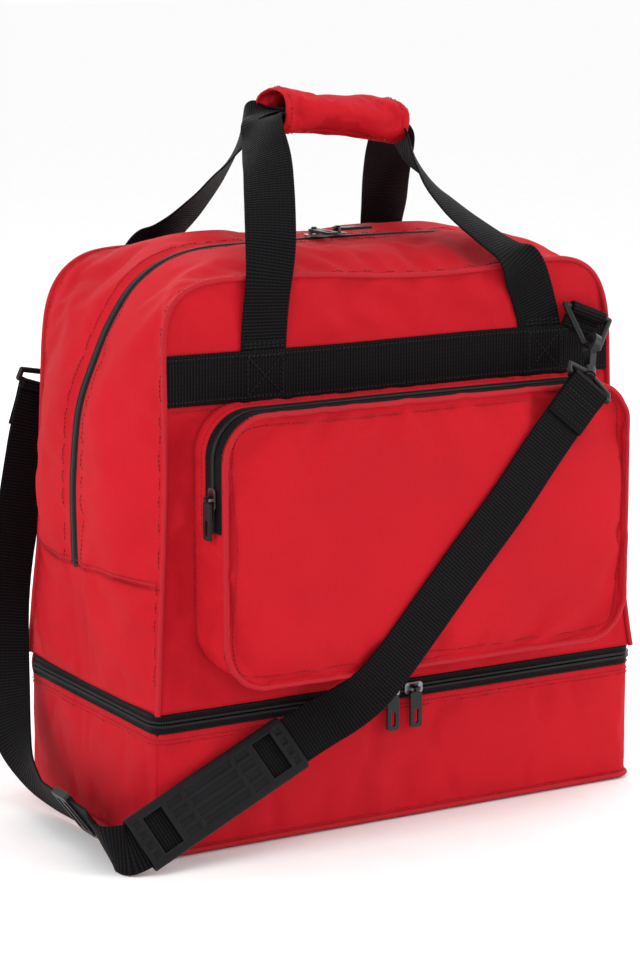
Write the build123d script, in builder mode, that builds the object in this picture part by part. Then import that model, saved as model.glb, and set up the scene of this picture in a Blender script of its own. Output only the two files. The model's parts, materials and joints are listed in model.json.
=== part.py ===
"""Hockey equipment bag: a soft upper compartment on a boxy base compartment.

Millimetres, +Z up, +X to the bag's right, the front (pocket side) faces -Y.
The origin is the middle of the base's underside.
"""
from build123d import *
import os
from math import cos, pi, radians, sin

os.makedirs("parts", exist_ok=True)

# ---- overall sizes ----------------------------------------------------------------------------
bag_width = 456.0            # base, side to side
bag_depth = 235.0            # base, front panel to back panel
base_height = 101.0          # base wall, floor to the lower zip tape
zip_gap = 16.0               # height of the zip band between the two compartments
seam_height = 454.0          # top of the front and back panels
crest_rise = 13.0            # the arch at the main zip stands this much over those panels
arch_rise = 0.5              # of that arch, along the main zip between its corners
panel_sag = 5.0              # the panels' top seam hangs this much between the corners

# ---- upper compartment, how far each line stands in from the base's side --------------------------
foot_inset = 2.0             # at the bottom seam
waist_inset = 14.0           # front and back panels, half way up
shoulder_inset = 22.0        # front and back panels, where the corner round starts
crown_inset = 70.0           # front and back panels, where the corner round ends
belly_out = 12.0             # half way up, at the middle of the depth, out from the base's side
belly_crown_inset = 96.0     # at the middle of the depth, where the corner round ends
waist_rise = 145.0           # the waist above the bottom seam
panel_shoulder_drop = 50.0   # the panels' corner round, top to bottom
belly_shoulder_drop = 105.0  # the same at the middle of the depth
side_panel_height = 98.0     # of the lower side panels, up to the main zip's ends

# ---- cloth, board and piping ---------------------------------------------------------------------
wall = 3.0                   # padded cloth walls
board_thickness = 3.0
floor_thickness = 2.0
base_corner_radius = 12.0
piping_size = 1.8            # how far the piping stands out of a seam
piping_width = 4.0
sewn_gap = 0.3               # between a loose edge and the wall that it is sewn to

# ---- webbing -------------------------------------------------------------------------------------
webbing_width = 40.0
webbing_thickness = 1.6
band_drop = 56.0             # upper edge of the webbing band, down from the panels' top
band_thickness = 3.5         # the band with the handle ends folded under it
handle_inset = 27.0          # middle of a handle's leg, in from the end of the panel's corner round
handle_tuck = 36.0           # how far a handle's end runs under the band

# ---- zips ----------------------------------------------------------------------------------------
tape_thickness = 1.6
coil_height = 1.5            # how far the coil stands out of its tape
coil_width = 2.4             # one half of the coil
coil_gap = 1.2               # between the two halves
main_zip_width = 12.0
pocket_zip_width = 20.0

# ---- front pocket --------------------------------------------------------------------------------
pocket_margin = 26.0         # the pocket's side, in from the panel's side
pocket_rise = 26.0           # the pocket's bottom above the panel's bottom seam
pocket_below_band = 3.0
pocket_depth = 40.0
pocket_corner = 36.0
pocket_wall = 2.4
pocket_zip_from_front = 4.0  # cloth between the zip and the pocket's front seam
pocket_zip_drop = 93.0       # the zip ends this far down the pocket's left side

# ---- sliders and pulls ---------------------------------------------------------------------------
slider_length = 17.0
slider_width = 10.0
slider_plate = 1.2
slider_lift = 0.5            # between a slider plate and the coil or the tape
bail_radius = 1.0
pull_length = 30.0
pull_width = 11.0
pull_thickness = 2.2
pull_play = 0.3
bail_rise = 3.2              # slider plate to the middle of the bail's bar
bail_half = 3.5              # the bail's posts stand this far each side of its middle
pull_eye = 1.5               # wall of the pull's eye, and half its length
slider_spacing = 22.0        # between the two sliders of a zip that meet in the middle
main_slider_x = -6.0         # where they meet on the main zip
base_slider_x = -4.0         # and on the base zip
pocket_slider_rise = 28.0    # the pocket's slider above its zip's lower end

# ---- rings, hooks and the shoulder strap ----------------------------------------------------------
ring_wire = 2.5              # radius
ring_bar_half = 23.5
ring_tab_clear = 3.5         # between the tab's end and the ring's arm, along the bar
ring_drop = 32.0
ring_foot_half = 8.0
ring_play = 0.3
ring_slope = 21.0            # degrees, the ring's bar falls towards the side
ring_rise = 9.0              # the bar's middle above the band's top edge
front_ring_inset = 36.0      # the ring bar's middle, in from the panel's side
back_ring_inset = 34.0
tab_thickness = 9.4
tab_height = 11.0
hook_eye = 7.0               # radius of the hook's eye
hook_wall = 3.6
hook_thickness = 6.0
hook_shank = 27.0            # eye centre to the frame's collar
gate_height = 9.0
gate_play = 0.4
swivel_radius = 2.6
swivel_play = 0.25
swivel_head = 4.2
collar_length = 7.0
frame_bar = 2.4              # radius of the strap frame's bar
frame_reach = 12.0           # collar to the strap bar
frame_shoulder = 7.5         # the frame's sides run straight for this much
strap_thickness = 2.0
pad_length = 150.0
pad_edge = 3.5               # the pad is this much wider than the webbing, each side
pad_thickness = 8.0
pad_slot_play = 1.0
pad_travel = 20.0
pad_window = 19.0            # length of each window that shows the strap
pad_window_inset = 12.0
adjuster_length = 26.0
adjuster_rim = 3.0
adjuster_thickness = 6.0
adjuster_play = 0.6

# ---- grip ----------------------------------------------------------------------------------------
grip_length = 126.0
grip_height = 30.0
grip_room = 5.0              # the wrap is this much deeper than the webbing, each side
layer_offset = 3.0           # each handle's layer of webbing off the grip's middle
leg_run_less = 6.0           # a leg runs straight out of the grip for half its width, less this
grip_wall = 3.0
grip_rise = 112.0            # its middle above the panels' top
grip_tilt = 6.0              # degrees, its right end hangs lower

# ---- values that follow ----------------------------------------------------------------------------
half_depth = bag_depth / 2
upper_bottom = base_height + zip_gap
zip_middle = base_height + zip_gap / 2
front_plane = Plane.XZ.offset(half_depth)
crest_height = seam_height + crest_rise
ring_tab_width = 2 * (ring_bar_half - ring_wire - ring_tab_clear)
panel_shoulder_half = bag_width / 2 - shoulder_inset
panel_crown_half = bag_width / 2 - crown_inset
belly_crown_half = bag_width / 2 - belly_crown_inset
side_seam_height = upper_bottom + side_panel_height
band_top = seam_height - band_drop


def save(piece, name):
    """Label a finished piece and write it."""
    piece.part.label = name
    export_step(piece.part, f"parts/{name}.step")


# ==== base compartment ==============================================================================
def base_ring(bottom, height, outward, thickness):
    """A wall that follows the base's rounded outline, standing outward of it by a given amount."""
    with BuildPart() as ring:
        with BuildSketch(Plane.XY.offset(bottom)):
            RectangleRounded(bag_width + 2 * outward, bag_depth + 2 * outward, base_corner_radius + outward)
            inner = outward - thickness
            RectangleRounded(bag_width + 2 * inner, bag_depth + 2 * inner,
                             base_corner_radius + inner, mode=Mode.SUBTRACT)
        extrude(amount=height)
    return ring.part


with BuildPart() as base_wall:
    add(base_ring(0, base_height, 0, wall))
save(base_wall, "base_wall")

with BuildPart() as base_floor:
    with BuildSketch():
        RectangleRounded(bag_width - 2 * wall, bag_depth - 2 * wall, base_corner_radius - wall)
    extrude(amount=floor_thickness)
save(base_floor, "base_floor")

with BuildPart() as base_board:
    board_inset = wall + sewn_gap
    with BuildSketch(Plane.XY.offset(floor_thickness)):
        RectangleRounded(bag_width - 2 * board_inset, bag_depth - 2 * board_inset,
                         base_corner_radius - board_inset)
    extrude(amount=board_thickness)
save(base_board, "base_board")

with BuildPart() as base_piping:
    add(base_ring(piping_width / 2, piping_width, piping_size, piping_size))
save(base_piping, "base_piping")


def open_back(height):
    """Clears the back of a ring, where the zip gives way to the hinge strip."""
    with Locations((0, half_depth + coil_height, height)):
        Box(bag_width + 4 * coil_height, 2 * base_corner_radius, 2 * zip_gap, mode=Mode.SUBTRACT)


half_tape = (zip_gap - coil_gap) / 2
for side, tape_bottom, coil_bottom in (
    ("lower", base_height, zip_middle - coil_gap / 2 - coil_width),
    ("upper", zip_middle + coil_gap / 2, zip_middle + coil_gap / 2),
):
    with BuildPart() as tape:
        add(base_ring(tape_bottom, half_tape, 0, tape_thickness))
        open_back(zip_middle)
    save(tape, f"base_zip_{side}_tape")
    with BuildPart() as coil:
        add(base_ring(coil_bottom, coil_width, coil_height, coil_height))
        open_back(zip_middle)
    save(coil, f"base_zip_{side}_coil")

with BuildPart() as hinge_strip:
    strip_half = bag_width / 2 - base_corner_radius
    with Locations((0, half_depth - wall / 2, base_height + zip_gap / 2 - sewn_gap / 2)):
        Box(2 * strip_half, wall, zip_gap - sewn_gap)
save(hinge_strip, "hinge_strip")


# ==== upper compartment =============================================================================
def outline(foot, waist, shoulder, crown, shoulder_height, crown_height, crest, inset, drop):
    """Closed outline of one station across the depth, symmetric left to right, drawn in X and Z."""
    foot, waist, shoulder = foot - inset, waist - inset, shoulder - inset
    crown_height, crest = crown_height - inset, crest - inset
    bottom = upper_bottom - drop
    corner_x = crown + (shoulder - crown) * cos(pi / 4)
    corner_z = shoulder_height + (crown_height - shoulder_height) * sin(pi / 4)
    waist_height = upper_bottom + waist_rise
    with BuildLine() as edge:
        Line((-foot, bottom), (foot, bottom))
        ThreePointArc((foot, bottom), (waist, waist_height), (shoulder, shoulder_height))
        ThreePointArc((shoulder, shoulder_height), (corner_x, corner_z), (crown, crown_height))
        ThreePointArc((crown, crown_height), (0, crest), (-crown, crown_height))
        ThreePointArc((-crown, crown_height), (-corner_x, corner_z), (-shoulder, shoulder_height))
        ThreePointArc((-shoulder, shoulder_height), (-waist, waist_height), (-foot, bottom))
    make_face(edge.edges())


foot_half = bag_width / 2 - foot_inset
panel_waist_half = bag_width / 2 - waist_inset


def panel_outline(inset=0.0, drop=0.0):
    outline(foot_half, panel_waist_half, panel_shoulder_half, panel_crown_half,
            seam_height - panel_shoulder_drop, seam_height, seam_height - panel_sag, inset, drop)


def belly_outline(inset=0.0, drop=0.0):
    outline(foot_half + wall, bag_width / 2 + belly_out, bag_width / 2, belly_crown_half,
            crest_height - belly_shoulder_drop, crest_height - arch_rise, crest_height, inset, drop)


def upper_loft(inset, drop=0.0):
    """The upper compartment's bulging form between the front and back panels."""
    reach = half_depth - wall
    with BuildPart() as form:
        with BuildSketch(Plane.XZ.offset(reach)):
            panel_outline(inset, drop)
        with BuildSketch(Plane.XZ):
            belly_outline(inset, drop)
        with BuildSketch(Plane.XZ.offset(-reach)):
            panel_outline(inset, drop)
        loft()
    return form.part


outer_form = upper_loft(0)
inner_form = upper_loft(wall, drop=10)
coil_form = upper_loft(-coil_height)


def keep(x_low, x_high, y_low, y_high, z_low, z_high):
    """Keeps only the stretch of the part inside a box."""
    with Locations(((x_low + x_high) / 2, (y_low + y_high) / 2, (z_low + z_high) / 2)):
        Box(x_high - x_low, y_high - y_low, z_high - z_low, mode=Mode.INTERSECT)


far = bag_width
half_main = main_zip_width / 2
shell_pieces = (
    ("side_panel_left", -far, 0, -far, far, upper_bottom, side_seam_height),
    ("side_panel_right", 0, far, -far, far, upper_bottom, side_seam_height),
    ("gusset_front", -far, far, -far, -half_main, side_seam_height, far * 2),
    ("gusset_back", -far, far, half_main, far, side_seam_height, far * 2),
    ("main_zip_front_tape", -far, far, -half_main, -coil_gap / 2, side_seam_height, far * 2),
    ("main_zip_back_tape", -far, far, coil_gap / 2, half_main, side_seam_height, far * 2),
)
for name, *limits in shell_pieces:
    with BuildPart() as piece:
        add(outer_form)
        add(inner_form, mode=Mode.SUBTRACT)
        keep(*limits)
    save(piece, name)

with BuildPart() as main_zip_coil:
    add(coil_form)
    add(outer_form, mode=Mode.SUBTRACT)
    coil_edge = coil_gap / 2 + coil_width
    keep(-far, far, -coil_edge, coil_edge, side_seam_height, far * 2)
    Box(3 * far, coil_gap, 6 * far, mode=Mode.SUBTRACT)
save(main_zip_coil, "main_zip_coil")

for name, face_y in (("front", -half_depth), ("back", half_depth - wall)):
    panel_plane = Plane.XZ.offset(-face_y)
    with BuildPart() as panel:
        with BuildSketch(panel_plane):
            panel_outline()
        extrude(amount=-wall)
    save(panel, f"{name}_panel")
    with BuildPart() as piping:
        with BuildSketch(panel_plane):
            panel_outline(inset=-piping_size)
        extrude(amount=-wall)
        with BuildSketch(panel_plane):
            panel_outline()
        extrude(amount=-wall, mode=Mode.SUBTRACT)
    save(piping, f"{name}_piping")

with BuildPart() as divider:
    with Locations((0, 0, upper_bottom + wall / 2)):
        Box(2 * (foot_half - 2 * wall), bag_depth - 2 * (wall + sewn_gap), wall)
save(divider, "divider")

# ==== webbing bands and the sewn ends of the handles ================================================
band_middle = band_top - webbing_width / 2
leg_top = seam_height - 8.0
handle_half = panel_crown_half - handle_inset
tuck_bottom = band_top - handle_tuck

for name, turn in (("front", 1), ("back", -1)):
    out_plane = Plane(origin=(0, -turn * half_depth, 0), x_dir=(turn, 0, 0), z_dir=(0, -turn, 0))
    with BuildPart() as band:
        with BuildSketch(out_plane):
            panel_outline()
        extrude(amount=band_thickness)
        with BuildSketch(out_plane):
            with Locations((0, band_middle)):
                Rectangle(2 * far, webbing_width)
        extrude(amount=band_thickness, mode=Mode.INTERSECT)
        with BuildSketch(out_plane):
            tuck_middle = (tuck_bottom + band_top) / 2
            with Locations((-handle_half, tuck_middle), (handle_half, tuck_middle)):
                Rectangle(webbing_width + 2 * sewn_gap, handle_tuck + 2 * sewn_gap)
        extrude(amount=webbing_thickness + sewn_gap, mode=Mode.SUBTRACT)
    save(band, f"{name}_band")
    with BuildPart() as ends:
        with BuildSketch(out_plane):
            ends_middle = (tuck_bottom + leg_top) / 2
            with Locations((-handle_half, ends_middle), (handle_half, ends_middle)):
                Rectangle(webbing_width, leg_top - tuck_bottom)
        extrude(amount=webbing_thickness)
    save(ends, f"{name}_handle_ends")

# ==== front pocket ==================================================================================
pocket_half = panel_waist_half - pocket_margin
pocket_bottom = upper_bottom + pocket_rise
pocket_top = band_top - webbing_width - pocket_below_band
pocket_zip_end = pocket_top - pocket_zip_drop
pocket_height = pocket_top - pocket_bottom
pocket_middle = (pocket_top + pocket_bottom) / 2
zip_front = pocket_depth - pocket_zip_from_front
zip_back = zip_front - pocket_zip_width
pocket_zip_middle = (zip_front + zip_back) / 2


def pocket_outline(inset=0.0):
    with Locations((0, pocket_middle)):
        RectangleRounded(2 * (pocket_half - inset), pocket_height - 2 * inset, pocket_corner - inset)


def pocket_ring(start, depth, outward, thickness):
    """A wall that follows the pocket's outline, from start to start + depth out of the front panel."""
    with BuildPart() as ring:
        with BuildSketch(front_plane.offset(start)):
            pocket_outline(-outward)
            with Locations((0, pocket_middle)):
                inner = thickness - outward
                RectangleRounded(2 * (pocket_half - inner), pocket_height - 2 * inner,
                                 pocket_corner - inner, mode=Mode.SUBTRACT)
        extrude(amount=depth)
    return ring.part


def zip_run(mode):
    """The stretch of the pocket's wall that the zip takes: up the left side and along the top."""
    run_top = pocket_top + pocket_depth
    run_right = pocket_half - pocket_corner
    with Locations(((run_right - far) / 2, -far / 2, (pocket_zip_end + run_top) / 2)):
        Box(far + run_right, far, run_top - pocket_zip_end, mode=mode)


with BuildPart() as pocket_zip_space:
    add(pocket_ring(zip_back, pocket_zip_width, coil_height, 2 * pocket_wall))
    zip_run(Mode.INTERSECT)
    with Locations((pocket_half - pocket_corner, -far / 2, pocket_bottom)):
        Box(2 * (pocket_half - pocket_corner), far, pocket_height, mode=Mode.SUBTRACT)

with BuildPart() as pocket_gusset:
    add(pocket_ring(0, pocket_depth, 0, pocket_wall))
    add(pocket_zip_space.part, mode=Mode.SUBTRACT)
save(pocket_gusset, "pocket_gusset")

pocket_gap = coil_gap / 2
zip_halves = (
    ("front", pocket_zip_middle + pocket_gap, zip_front - pocket_zip_middle - pocket_gap),
    ("back", zip_back, pocket_zip_middle - pocket_gap - zip_back),
)
for side, start, depth in zip_halves:
    with BuildPart() as tape:
        add(pocket_ring(start, depth, 0, tape_thickness))
        add(pocket_zip_space.part, mode=Mode.INTERSECT)
    save(tape, f"pocket_zip_{side}_tape")

with BuildPart() as pocket_zip_coil:
    add(pocket_ring(pocket_zip_middle + pocket_gap, coil_width, coil_height, coil_height))
    add(pocket_ring(pocket_zip_middle - pocket_gap - coil_width, coil_width, coil_height, coil_height))
    add(pocket_zip_space.part, mode=Mode.INTERSECT)
save(pocket_zip_coil, "pocket_zip_coil")

with BuildPart() as pocket_panel:
    with BuildSketch(front_plane.offset(pocket_depth)):
        pocket_outline()
    extrude(amount=wall)
save(pocket_panel, "pocket_panel")

with BuildPart() as pocket_piping:
    add(pocket_ring(pocket_depth, wall, piping_size, piping_size))
save(pocket_piping, "pocket_piping")


# ==== zip sliders and pulls =========================================================================
bail_height = coil_height + slider_lift + slider_plate + bail_rise


def make_slider(name, place, under_thickness, bail_dir):
    """A slider on the zip at place (x along the zip, z out of it, origin on the tape's face).

    The bail's bar runs along bail_dir, and the pull hangs from it.
    """
    low = -under_thickness - slider_lift - slider_plate
    high = coil_height + slider_lift
    bail_plane = Plane(origin=place.origin, x_dir=bail_dir, z_dir=place.z_dir)
    post = 2 * bail_radius + 0.4
    with BuildPart() as slider:
        with BuildSketch(place.offset(low), place.offset(high)):
            RectangleRounded(slider_length, slider_width, slider_width / 3)
        extrude(amount=slider_plate)
        with BuildSketch(place.offset(low)):
            Rectangle(slider_length / 3, coil_gap - 2 * pull_play)
        extrude(amount=high - low)
        with BuildSketch(bail_plane.offset(high + slider_plate)):
            with Locations((-bail_half, 0), (bail_half, 0)):
                Rectangle(post, post)
        extrude(amount=bail_rise + post / 2)
        with BuildSketch(Plane(origin=bail_plane.from_local_coords(Vector(-bail_half, 0, bail_height)),
                               x_dir=bail_plane.y_dir, z_dir=bail_plane.x_dir)):
            Circle(bail_radius)
        extrude(amount=2 * bail_half)
    save(slider, name)


def make_pull(name, place, bail_dir, lean):
    """The pull: an eye round the bail's bar, and a moulded tab with an oblong hole.

    The tab lies along +y or -y of the bail's own plane, as lean is +1 or -1.
    """
    bail_plane = Plane(origin=place.origin, x_dir=bail_dir, z_dir=place.z_dir)
    bar = bail_plane.from_local_coords(Vector(0, 0, bail_height))
    tab_plane = Plane(origin=bar, x_dir=bail_plane.y_dir * lean, z_dir=place.z_dir)
    tab_start = bail_radius + pull_play + pull_eye / 2
    with BuildPart() as pull:
        with BuildSketch(tab_plane):
            with Locations((tab_start + pull_length / 2, 0)):
                RectangleRounded(pull_length, pull_width, pull_width / 4)
            with Locations((tab_start + pull_length * 0.68, 0)):
                SlotOverall(pull_length * 0.42, pull_width * 0.36, mode=Mode.SUBTRACT)
        extrude(amount=pull_thickness / 2, both=True)
        with BuildSketch(Plane(origin=bar, x_dir=place.z_dir, z_dir=bail_plane.x_dir)):
            Circle(bail_radius + pull_play + pull_eye)
        extrude(amount=pull_eye, both=True)
        with BuildSketch(Plane(origin=bar, x_dir=place.z_dir, z_dir=bail_plane.x_dir)):
            Circle(bail_radius + pull_play)
        extrude(amount=pull_width, both=True, mode=Mode.SUBTRACT)
    save(pull, name)


def arch_height(x):
    """Height of the arch over the middle of the depth, at x, on its outer face."""
    radius = (belly_crown_half ** 2 + arch_rise ** 2) / (2 * arch_rise)
    return crest_height - radius + (radius ** 2 - x ** 2) ** 0.5


right, front_way, down = Vector(1, 0, 0), Vector(0, -1, 0), Vector(0, 0, -1)
for side, step, bail, lean in (("left", -1, right, -1), ("right", 1, front_way, 1)):
    x = main_slider_x + step * slider_spacing / 2
    spot = Plane(origin=(x, 0, arch_height(x)), x_dir=right, z_dir=-down)
    make_slider(f"main_slider_{side}", spot, wall, bail)
    make_pull(f"main_pull_{side}", spot, bail, lean)
for side, step in (("left", -1), ("right", 1)):
    x = base_slider_x + step * slider_spacing / 2
    spot = Plane(origin=(x, -half_depth, zip_middle), x_dir=right, z_dir=front_way)
    make_slider(f"base_slider_{side}", spot, tape_thickness, right)
    make_pull(f"base_pull_{side}", spot, right, -1)
pocket_spot = Plane(origin=(-pocket_half, -half_depth - pocket_zip_middle, pocket_zip_end + pocket_slider_rise),
                    x_dir=down, z_dir=-right)
make_slider("pocket_slider", pocket_spot, tape_thickness, front_way)
make_pull("pocket_pull", pocket_spot, front_way, -1)


# ==== ribbons of webbing ============================================================================
def ribbon(stations, width, thickness):
    """A flat strap through (point, across) stations: each section faces its neighbours' direction."""
    with BuildPart() as strap:
        for index, (point, across) in enumerate(stations):
            before = Vector(*stations[max(index - 1, 0)][0])
            after = Vector(*stations[min(index + 1, len(stations) - 1)][0])
            heading = (after - before).normalized()
            across = Vector(*across)
            side_way = (across - heading * across.dot(heading)).normalized()
            with BuildSketch(Plane(origin=Vector(*point), x_dir=side_way, z_dir=heading)):
                Rectangle(width, thickness)
        loft(ruled=True)
    return strap.part


# ==== handles and grip ==============================================================================
grip_way = Vector(cos(radians(grip_tilt)), 0, -sin(radians(grip_tilt)))
grip_up = Vector(sin(radians(grip_tilt)), 0, cos(radians(grip_tilt)))
grip_centre = Vector(0, 0, seam_height + grip_rise)
leg_face = half_depth + webbing_thickness / 2
leg_run = webbing_width / 2 - leg_run_less
# the bends of each leg between its foot and the grip: how much of the way it has gone in x, y and z,
# and the way that its width runs
front_legs = (
    (-1, (((0.09, 0.05, 0.21), (0.9, -0.4, 0)), ((0.28, 0.24, 0.44), (0.8, -0.6, 0)),
          ((0.48, 0.46, 0.65), (0.65, -0.75, 0)), ((0.65, 0.69, 0.78), (0.4, -0.9, 0)))),
    (1, (((0.28, 0.05, 0.12), (1, 0.2, 0)), ((0.57, 0.19, 0.31), (0.9, 0.5, 0)),
         ((0.72, 0.43, 0.54), (0.7, 0.7, 0)), ((0.72, 0.69, 0.72), (0.4, 0.9, 0)))),
)
back_legs = (
    (-1, (((0.31, 0.05, 0.17), (1, 0.3, 0)), ((0.59, 0.22, 0.4), (0.8, 0.6, 0)),
          ((0.72, 0.48, 0.64), (0.6, 0.8, 0)), ((0.75, 0.7, 0.89), (0.3, 0.95, 0)))),
    (1, (((0.11, 0.05, 0.19), (1, -0.3, 0)), ((0.32, 0.21, 0.39), (0.8, -0.6, 0)),
         ((0.54, 0.46, 0.6), (0.6, -0.8, 0)), ((0.71, 0.7, 0.89), (0.3, -0.95, 0)))),
)
for name, turn, legs, layer in (("front", -1, front_legs, -layer_offset), ("back", 1, back_legs, layer_offset)):
    with BuildPart() as free_legs:
        for end, bends in legs:
            foot = Vector(end * handle_half, turn * leg_face, seam_height + 4)
            grip_end = grip_centre + grip_way * (end * (grip_length / 2 + sewn_gap)) + grip_up * layer
            head = grip_end + grip_way * (end * leg_run)
            way = head - foot
            run = [((foot.X, foot.Y, leg_top + sewn_gap), (1, 0, 0)), (tuple(foot), (1, 0, 0))]
            for (gone_x, gone_y, gone_z), across in bends:
                point = (foot.X + gone_x * way.X, foot.Y + gone_y * way.Y, foot.Z + gone_z * way.Z)
                run.append((point, across))
            grip_across = (0, 1 if end * turn < 0 else -1, 0)
            run.append((tuple(head), grip_across))
            run.append((tuple(grip_end), grip_across))
            add(ribbon(run, webbing_width, webbing_thickness))
    save(free_legs, f"{name}_handle_legs")
    with BuildPart() as core:
        start = grip_centre - grip_way * (grip_length / 2) + grip_up * layer
        with BuildSketch(Plane(origin=start, x_dir=(0, 1, 0), z_dir=grip_way)):
            Rectangle(webbing_width, webbing_thickness)
        extrude(amount=grip_length)
    save(core, f"{name}_handle_core")

with BuildPart() as grip_wrap:
    with BuildSketch(Plane(origin=grip_centre - grip_way * (grip_length / 2), x_dir=(0, 1, 0), z_dir=grip_way)):
        grip_half = webbing_width / 2 + grip_room
        Ellipse(grip_half, grip_height / 2)
        Ellipse(grip_half - grip_wall, grip_height / 2 - grip_wall, mode=Mode.SUBTRACT)
    extrude(amount=grip_length)
save(grip_wrap, "grip_wrap")


# ==== rings, hooks and strap frames =================================================================
def add_rod(start, end, radius, mode=Mode.ADD):
    """A round rod between two points, added to the part being built."""
    with BuildSketch(Plane(origin=start, z_dir=end - start)) as section:
        Circle(radius)
    extrude(to_extrude=section.sketch, amount=(end - start).length, mode=mode)


def hook_set(name, bar_place, lean, strap_way, bar_way):
    """A ring in its sewn tab, the trigger hook on it, and the frame that the strap is sewn round.

    bar_place: origin at the ring bar's middle, x along the bar, z out of the bag. lean is the angle
    by which the ring stands off the bag; strap_way points from the hook to the strap.
    Returns the strap bar's middle and the way of its bar.
    """
    bar = bar_place.origin
    bar_dir, out, up = bar_place.x_dir, bar_place.z_dir, bar_place.y_dir
    with BuildPart() as tab:
        with BuildSketch(Plane(origin=bar - bar_dir * (ring_tab_width / 2), x_dir=out, z_dir=bar_dir)):
            RectangleRounded(tab_thickness, tab_height, tab_thickness / 4)
            Circle(ring_wire + ring_play, mode=Mode.SUBTRACT)
        extrude(amount=ring_tab_width)
    save(tab, f"{name}_ring_tab")

    down_way = up * -cos(radians(lean)) + out * sin(radians(lean))
    corners = [bar - bar_dir * ring_bar_half, bar + bar_dir * ring_bar_half,
               bar + bar_dir * ring_foot_half + down_way * ring_drop,
               bar - bar_dir * ring_foot_half + down_way * ring_drop]
    with BuildPart() as ring:
        for start, end in zip(corners, corners[1:] + corners[:1]):
            add_rod(start, end, ring_wire)
            with Locations(start):
                Sphere(ring_wire)
    save(ring, f"{name}_ring")

    eye = bar + down_way * ring_drop
    strap_way = strap_way.normalized()
    normal = (bar_dir - strap_way * bar_dir.dot(strap_way)).normalized()
    plane = Plane(origin=eye, x_dir=strap_way, z_dir=normal)
    outer = hook_eye + hook_wall
    with BuildPart() as hook:
        with BuildSketch(plane):
            Circle(outer)
            with Locations(((hook_eye + hook_shank) / 2, 0)):
                Rectangle(hook_shank - hook_eye, 2 * swivel_head)
            Circle(hook_eye, mode=Mode.SUBTRACT)
            with Locations((0, outer)):
                Rectangle(gate_height, 2 * (hook_wall + 1), mode=Mode.SUBTRACT)
        extrude(amount=hook_thickness / 2, both=True)
        collar_end = hook_shank + 2 * swivel_play + collar_length
        pin_end = collar_end + 2 * swivel_play
        add_rod(eye + strap_way * (hook_shank - hook_wall / 2), eye + strap_way * pin_end, swivel_radius)
        add_rod(eye + strap_way * (collar_end + swivel_play), eye + strap_way * (collar_end + swivel_play + 2),
                swivel_head)
    save(hook, f"{name}_hook")

    with BuildPart() as gate:
        with BuildSketch(plane):
            with Locations((0, hook_eye + hook_wall / 2)):
                Rectangle(gate_height - 2 * gate_play, hook_wall - 2 * gate_play)
        extrude(amount=hook_thickness / 2 - gate_play, both=True)
    save(gate, f"{name}_hook_gate")

    collar_start = eye + strap_way * (hook_shank + swivel_play)
    collar_stop = collar_start + strap_way * collar_length
    strap_bar = collar_stop + strap_way * frame_reach
    bar_way = (bar_way - strap_way * bar_way.dot(strap_way)).normalized()
    bar_half = webbing_width / 2 + frame_bar + 1
    with BuildPart() as frame:
        for end in (-1, 1):
            foot = strap_bar + bar_way * (end * bar_half)
            shoulder = foot - strap_way * frame_shoulder
            add_rod(strap_bar, foot, frame_bar)
            add_rod(foot, shoulder, frame_bar)
            add_rod(shoulder, collar_stop - strap_way * frame_bar, frame_bar)
            with Locations(foot, shoulder):
                Sphere(frame_bar)
        add_rod(collar_start, collar_stop, swivel_head + frame_bar / 2)
        add_rod(collar_start - strap_way, collar_stop + strap_way * frame_reach / 2,
                swivel_radius + swivel_play, mode=Mode.SUBTRACT)
        add_rod(collar_stop, collar_stop + strap_way * (frame_reach / 2), swivel_head + 3 * swivel_play,
                mode=Mode.SUBTRACT)
    save(frame, f"{name}_strap_frame")
    return strap_bar, bar_way


band_face = half_depth + band_thickness
ring_height = band_top + ring_rise
slope = radians(ring_slope)
front_bar = Plane(origin=(panel_shoulder_half - front_ring_inset, -band_face - tab_thickness / 2, ring_height),
                  x_dir=(cos(slope), 0, -sin(slope)), z_dir=(0, -1, 0))
back_bar = Plane(origin=(back_ring_inset - panel_shoulder_half, band_face + tab_thickness / 2, ring_height),
                 x_dir=(-cos(slope), 0, sin(slope)), z_dir=(0, 1, 0))
front_end = hook_set("front", front_bar, 36, Vector(-0.5, -0.64, -0.6), Vector(0.82, 0, -0.57))
back_end = hook_set("back", back_bar, 22, Vector(-0.45, -0.08, -0.89), Vector(-0.89, 0, 0.45))

# ==== shoulder strap, its pad and adjuster ==========================================================
pad_centre = Vector(-186, -140, 54.5)
pad_way = Vector(0.905, 0, 0.425).normalized()
pad_across = Vector(0.37, -0.48, -0.79)
pad_plane = Plane(origin=pad_centre, x_dir=pad_way, z_dir=pad_across.cross(pad_way))
pad_run_right = pad_centre + pad_way * (pad_length / 2 + pad_travel + 5)
pad_run_left = pad_centre - pad_way * (pad_length / 2 + 4)

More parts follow.
